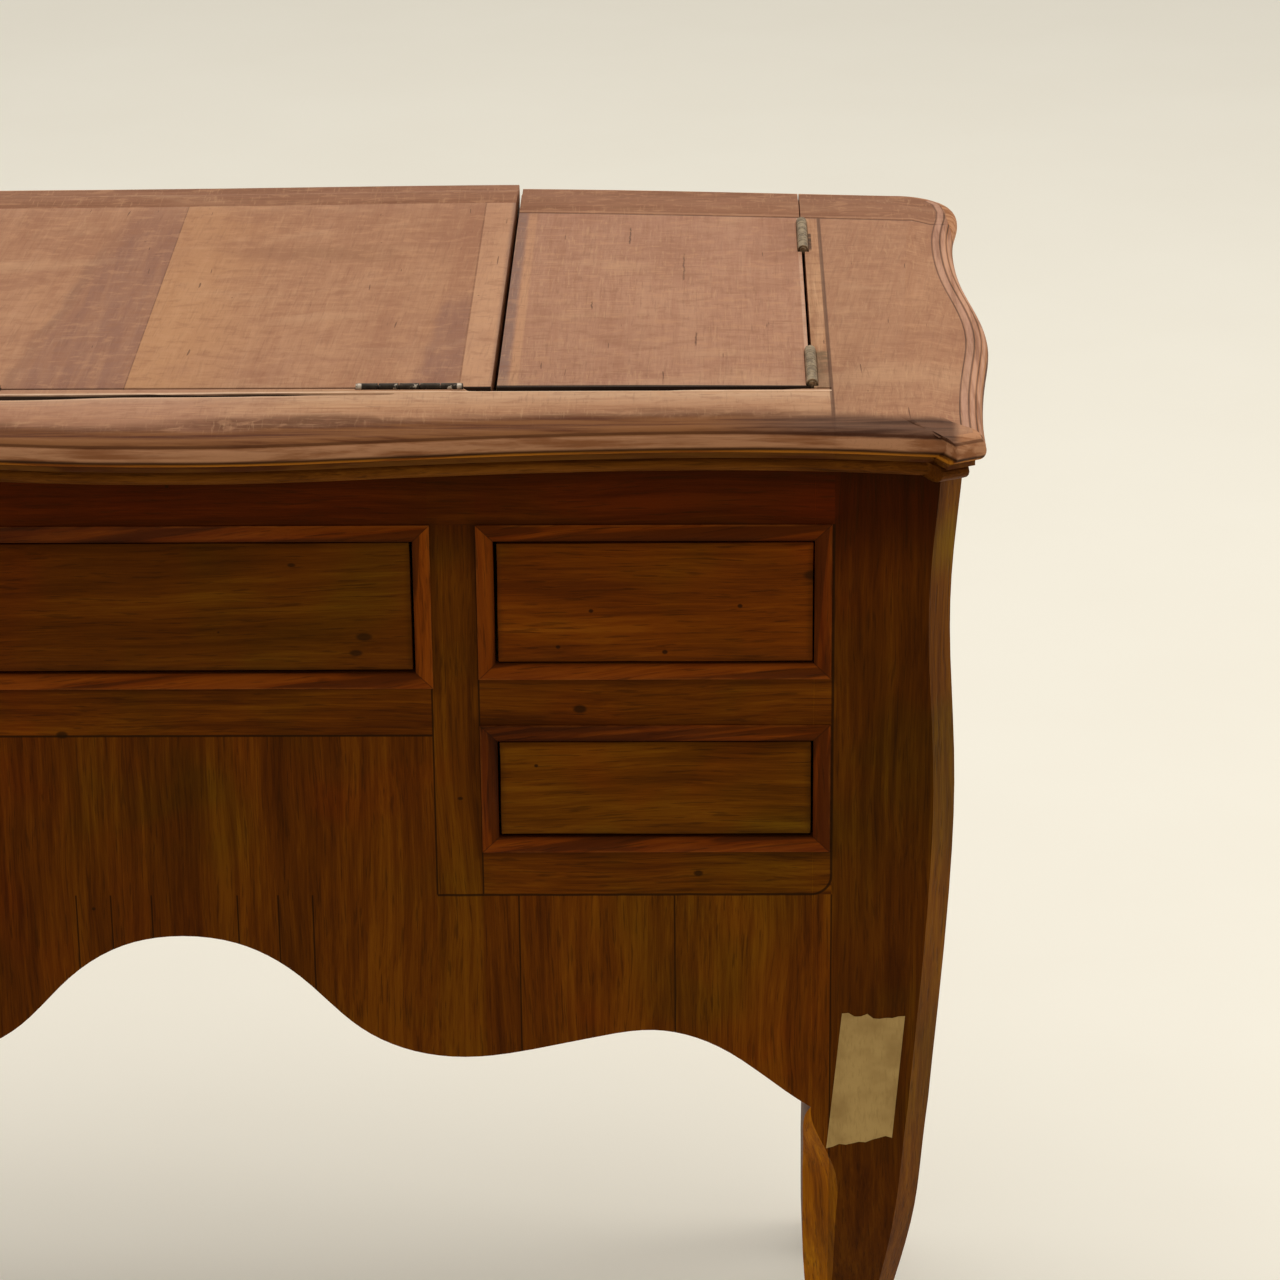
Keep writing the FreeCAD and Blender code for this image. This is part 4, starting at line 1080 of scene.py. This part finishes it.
def make_tape(finish):
    """A blank length of paper tape on the right leg, torn at both ends."""
    columns, rows, thickness = 10, 20, 0.25 * mm
    bpy.ops.mesh.primitive_grid_add(x_subdivisions=columns, y_subdivisions=rows, size=1.0)
    piece = bpy.context.object
    piece.name = "blank_paper_tape"
    random.seed(11)
    low_left, low_right, high_left, high_right = tape_corners
    jags = {end: [random.uniform(0, 3.0) for _ in range(columns + 1)] for end in (-1, 1)}
    for vertex in piece.data.vertices:
        u, v = vertex.co.x + 0.5, vertex.co.y + 0.5
        spot = low_left.lerp(low_right, u).lerp(high_left.lerp(high_right, u), v)
        if min(v, 1 - v) < 0.5 / rows:
            end = 1 if v > 0.5 else -1
            spot.y -= end * jags[end][round(u * columns)]
        crease = abs(noise.noise(Vector((spot.x, spot.y, 0)) / 14)) * 0.10
        vertex.co = Vector((spot.x, face_y / mm - 0.15 - crease, spot.y)) * mm
    activate(piece)
    solid = piece.modifiers.new("thickness", "SOLIDIFY")
    solid.thickness = thickness
    solid.offset = 0.0
    bpy.ops.object.modifier_apply(modifier=solid.name)
    bpy.ops.object.mode_set(mode="EDIT")
    bpy.ops.mesh.select_all(action="SELECT")
    bpy.ops.mesh.normals_make_consistent(inside=False)
    bpy.ops.object.mode_set(mode="OBJECT")
    bpy.ops.object.shade_smooth_by_angle(angle=math.radians(40))
    finish_piece(piece, "case", "case_walnut", finish)


# What a frame node that is shown as it is has in its name, and its finish; the first that fits holds
finish_words = (
    ("side_panel", "side"), ("bead_moulding", "bead"), ("knob", "knob"), ("hinge_screws", "screw"),
    ("hinge", "hinge"), ("mirror_glass", "mirror"), ("well_floor", "inner_x"), ("", "inner_y"),
)


def finish_for(node):
    if node.startswith(("leg", "apron", "top_rail", "stiles", "drawer_rails")):
        return "face"
    return next(finish for word, finish in finish_words if word in node)


def dress_nodes(finishes):
    for name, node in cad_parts.items():
        if node.hide_render:
            continue
        node.data.materials.clear()
        node.data.materials.append(finishes[finish_for(name)])


# The room
def make_stage():
    """A wide pale floor."""
    material, s = new_material("pale_floor")
    s.colour = s.mix(s.noise(3.0), (240, 235, 222), (245, 241, 229))
    seen = s.times(s.add("LightPath", {}).outputs["Is Camera Ray"], 0.09)
    s.finish({"Roughness": 0.9, "Emission Color": s.colour, "Emission Strength": seen})
    bpy.ops.mesh.primitive_plane_add(size=14.0, location=(0, 0, 0))
    floor = bpy.context.object
    floor.name = "floor"
    floor.data.materials.append(material)


# Place, aim, size, power and colour of each lamp
lamps = {
    "overhead": ((0.2, 0.9, 4.5), (0, 0, 0.7), 5.0, 112.0, (1.0, 0.98, 0.94)),
    "window": ((3.4, 0.3, 1.5), (0.3, 0, 0.6), 1.6, 26.0, (1.0, 0.97, 0.90)),
}


def add_area(name, place, aim, size, power, colour):
    light = bpy.data.lights.new(name, "AREA")
    light.shape = "DISK"
    light.size = size
    light.energy = power
    light.color = colour
    lamp = bpy.data.objects.new(name, light)
    bpy.context.collection.objects.link(lamp)
    lamp.location = place
    lamp.rotation_euler = (Vector(aim) - Vector(place)).to_track_quat("-Z", "Y").to_euler()


def light_room():
    world = bpy.data.worlds.new("soft_room")
    bpy.context.scene.world = world
    world.use_nodes = True
    world.node_tree.nodes.clear()
    s = Shader(world.node_tree)
    path = s.add("LightPath", {}).outputs
    shown = s.most(path["Is Camera Ray"], path["Is Glossy Ray"], path["Is Transmission Ray"])
    room = s.add("Background", {"Color": (250, 246, 238), "Strength": 0.45})
    wall = s.add("Background", {"Color": (233, 227, 210), "Strength": 1.0})
    both = s.add("MixShader", {0: shown, 1: room.outputs[0], 2: wall.outputs[0]})
    s.tree.links.new(both.outputs[0], s.add("OutputWorld", {}).inputs[0])
    for name, given in lamps.items():
        add_area(name, *given)


def make_camera():
    data = bpy.data.cameras.new("camera")
    data.sensor_width = sensor_width
    data.lens = focal_pixels / image_side * sensor_width
    data.clip_end = 50.0
    camera = bpy.data.objects.new("camera", data)
    bpy.context.collection.objects.link(camera)
    turn = Matrix.Rotation(camera_yaw, 4, "Z") @ Matrix.Rotation(math.pi / 2 - camera_pitch, 4, "X")
    camera.matrix_world = Matrix.Translation(camera_place) @ turn @ Matrix.Rotation(camera_roll, 4, "Z")
    bpy.context.scene.camera = camera


def main():
    finishes = make_finishes()
    make_top(finishes)
    make_drawer_fronts(finishes)
    for node in ("bands_hinge_side", "bands_sitter_side"):
        worn_piece(node, "case", "band_walnut", finishes["band"], 0.3)
    worn_piece("mirror_frame", "centre_lid", "mirror_frame_wood", finishes["frame"], 2.0, None, "_moulded", 4)
    make_tape(finishes["tape"])
    dress_nodes(finishes)
    make_stage()
    light_room()
    make_camera()
    bpy.context.scene.view_settings.view_transform = "Standard"


main()
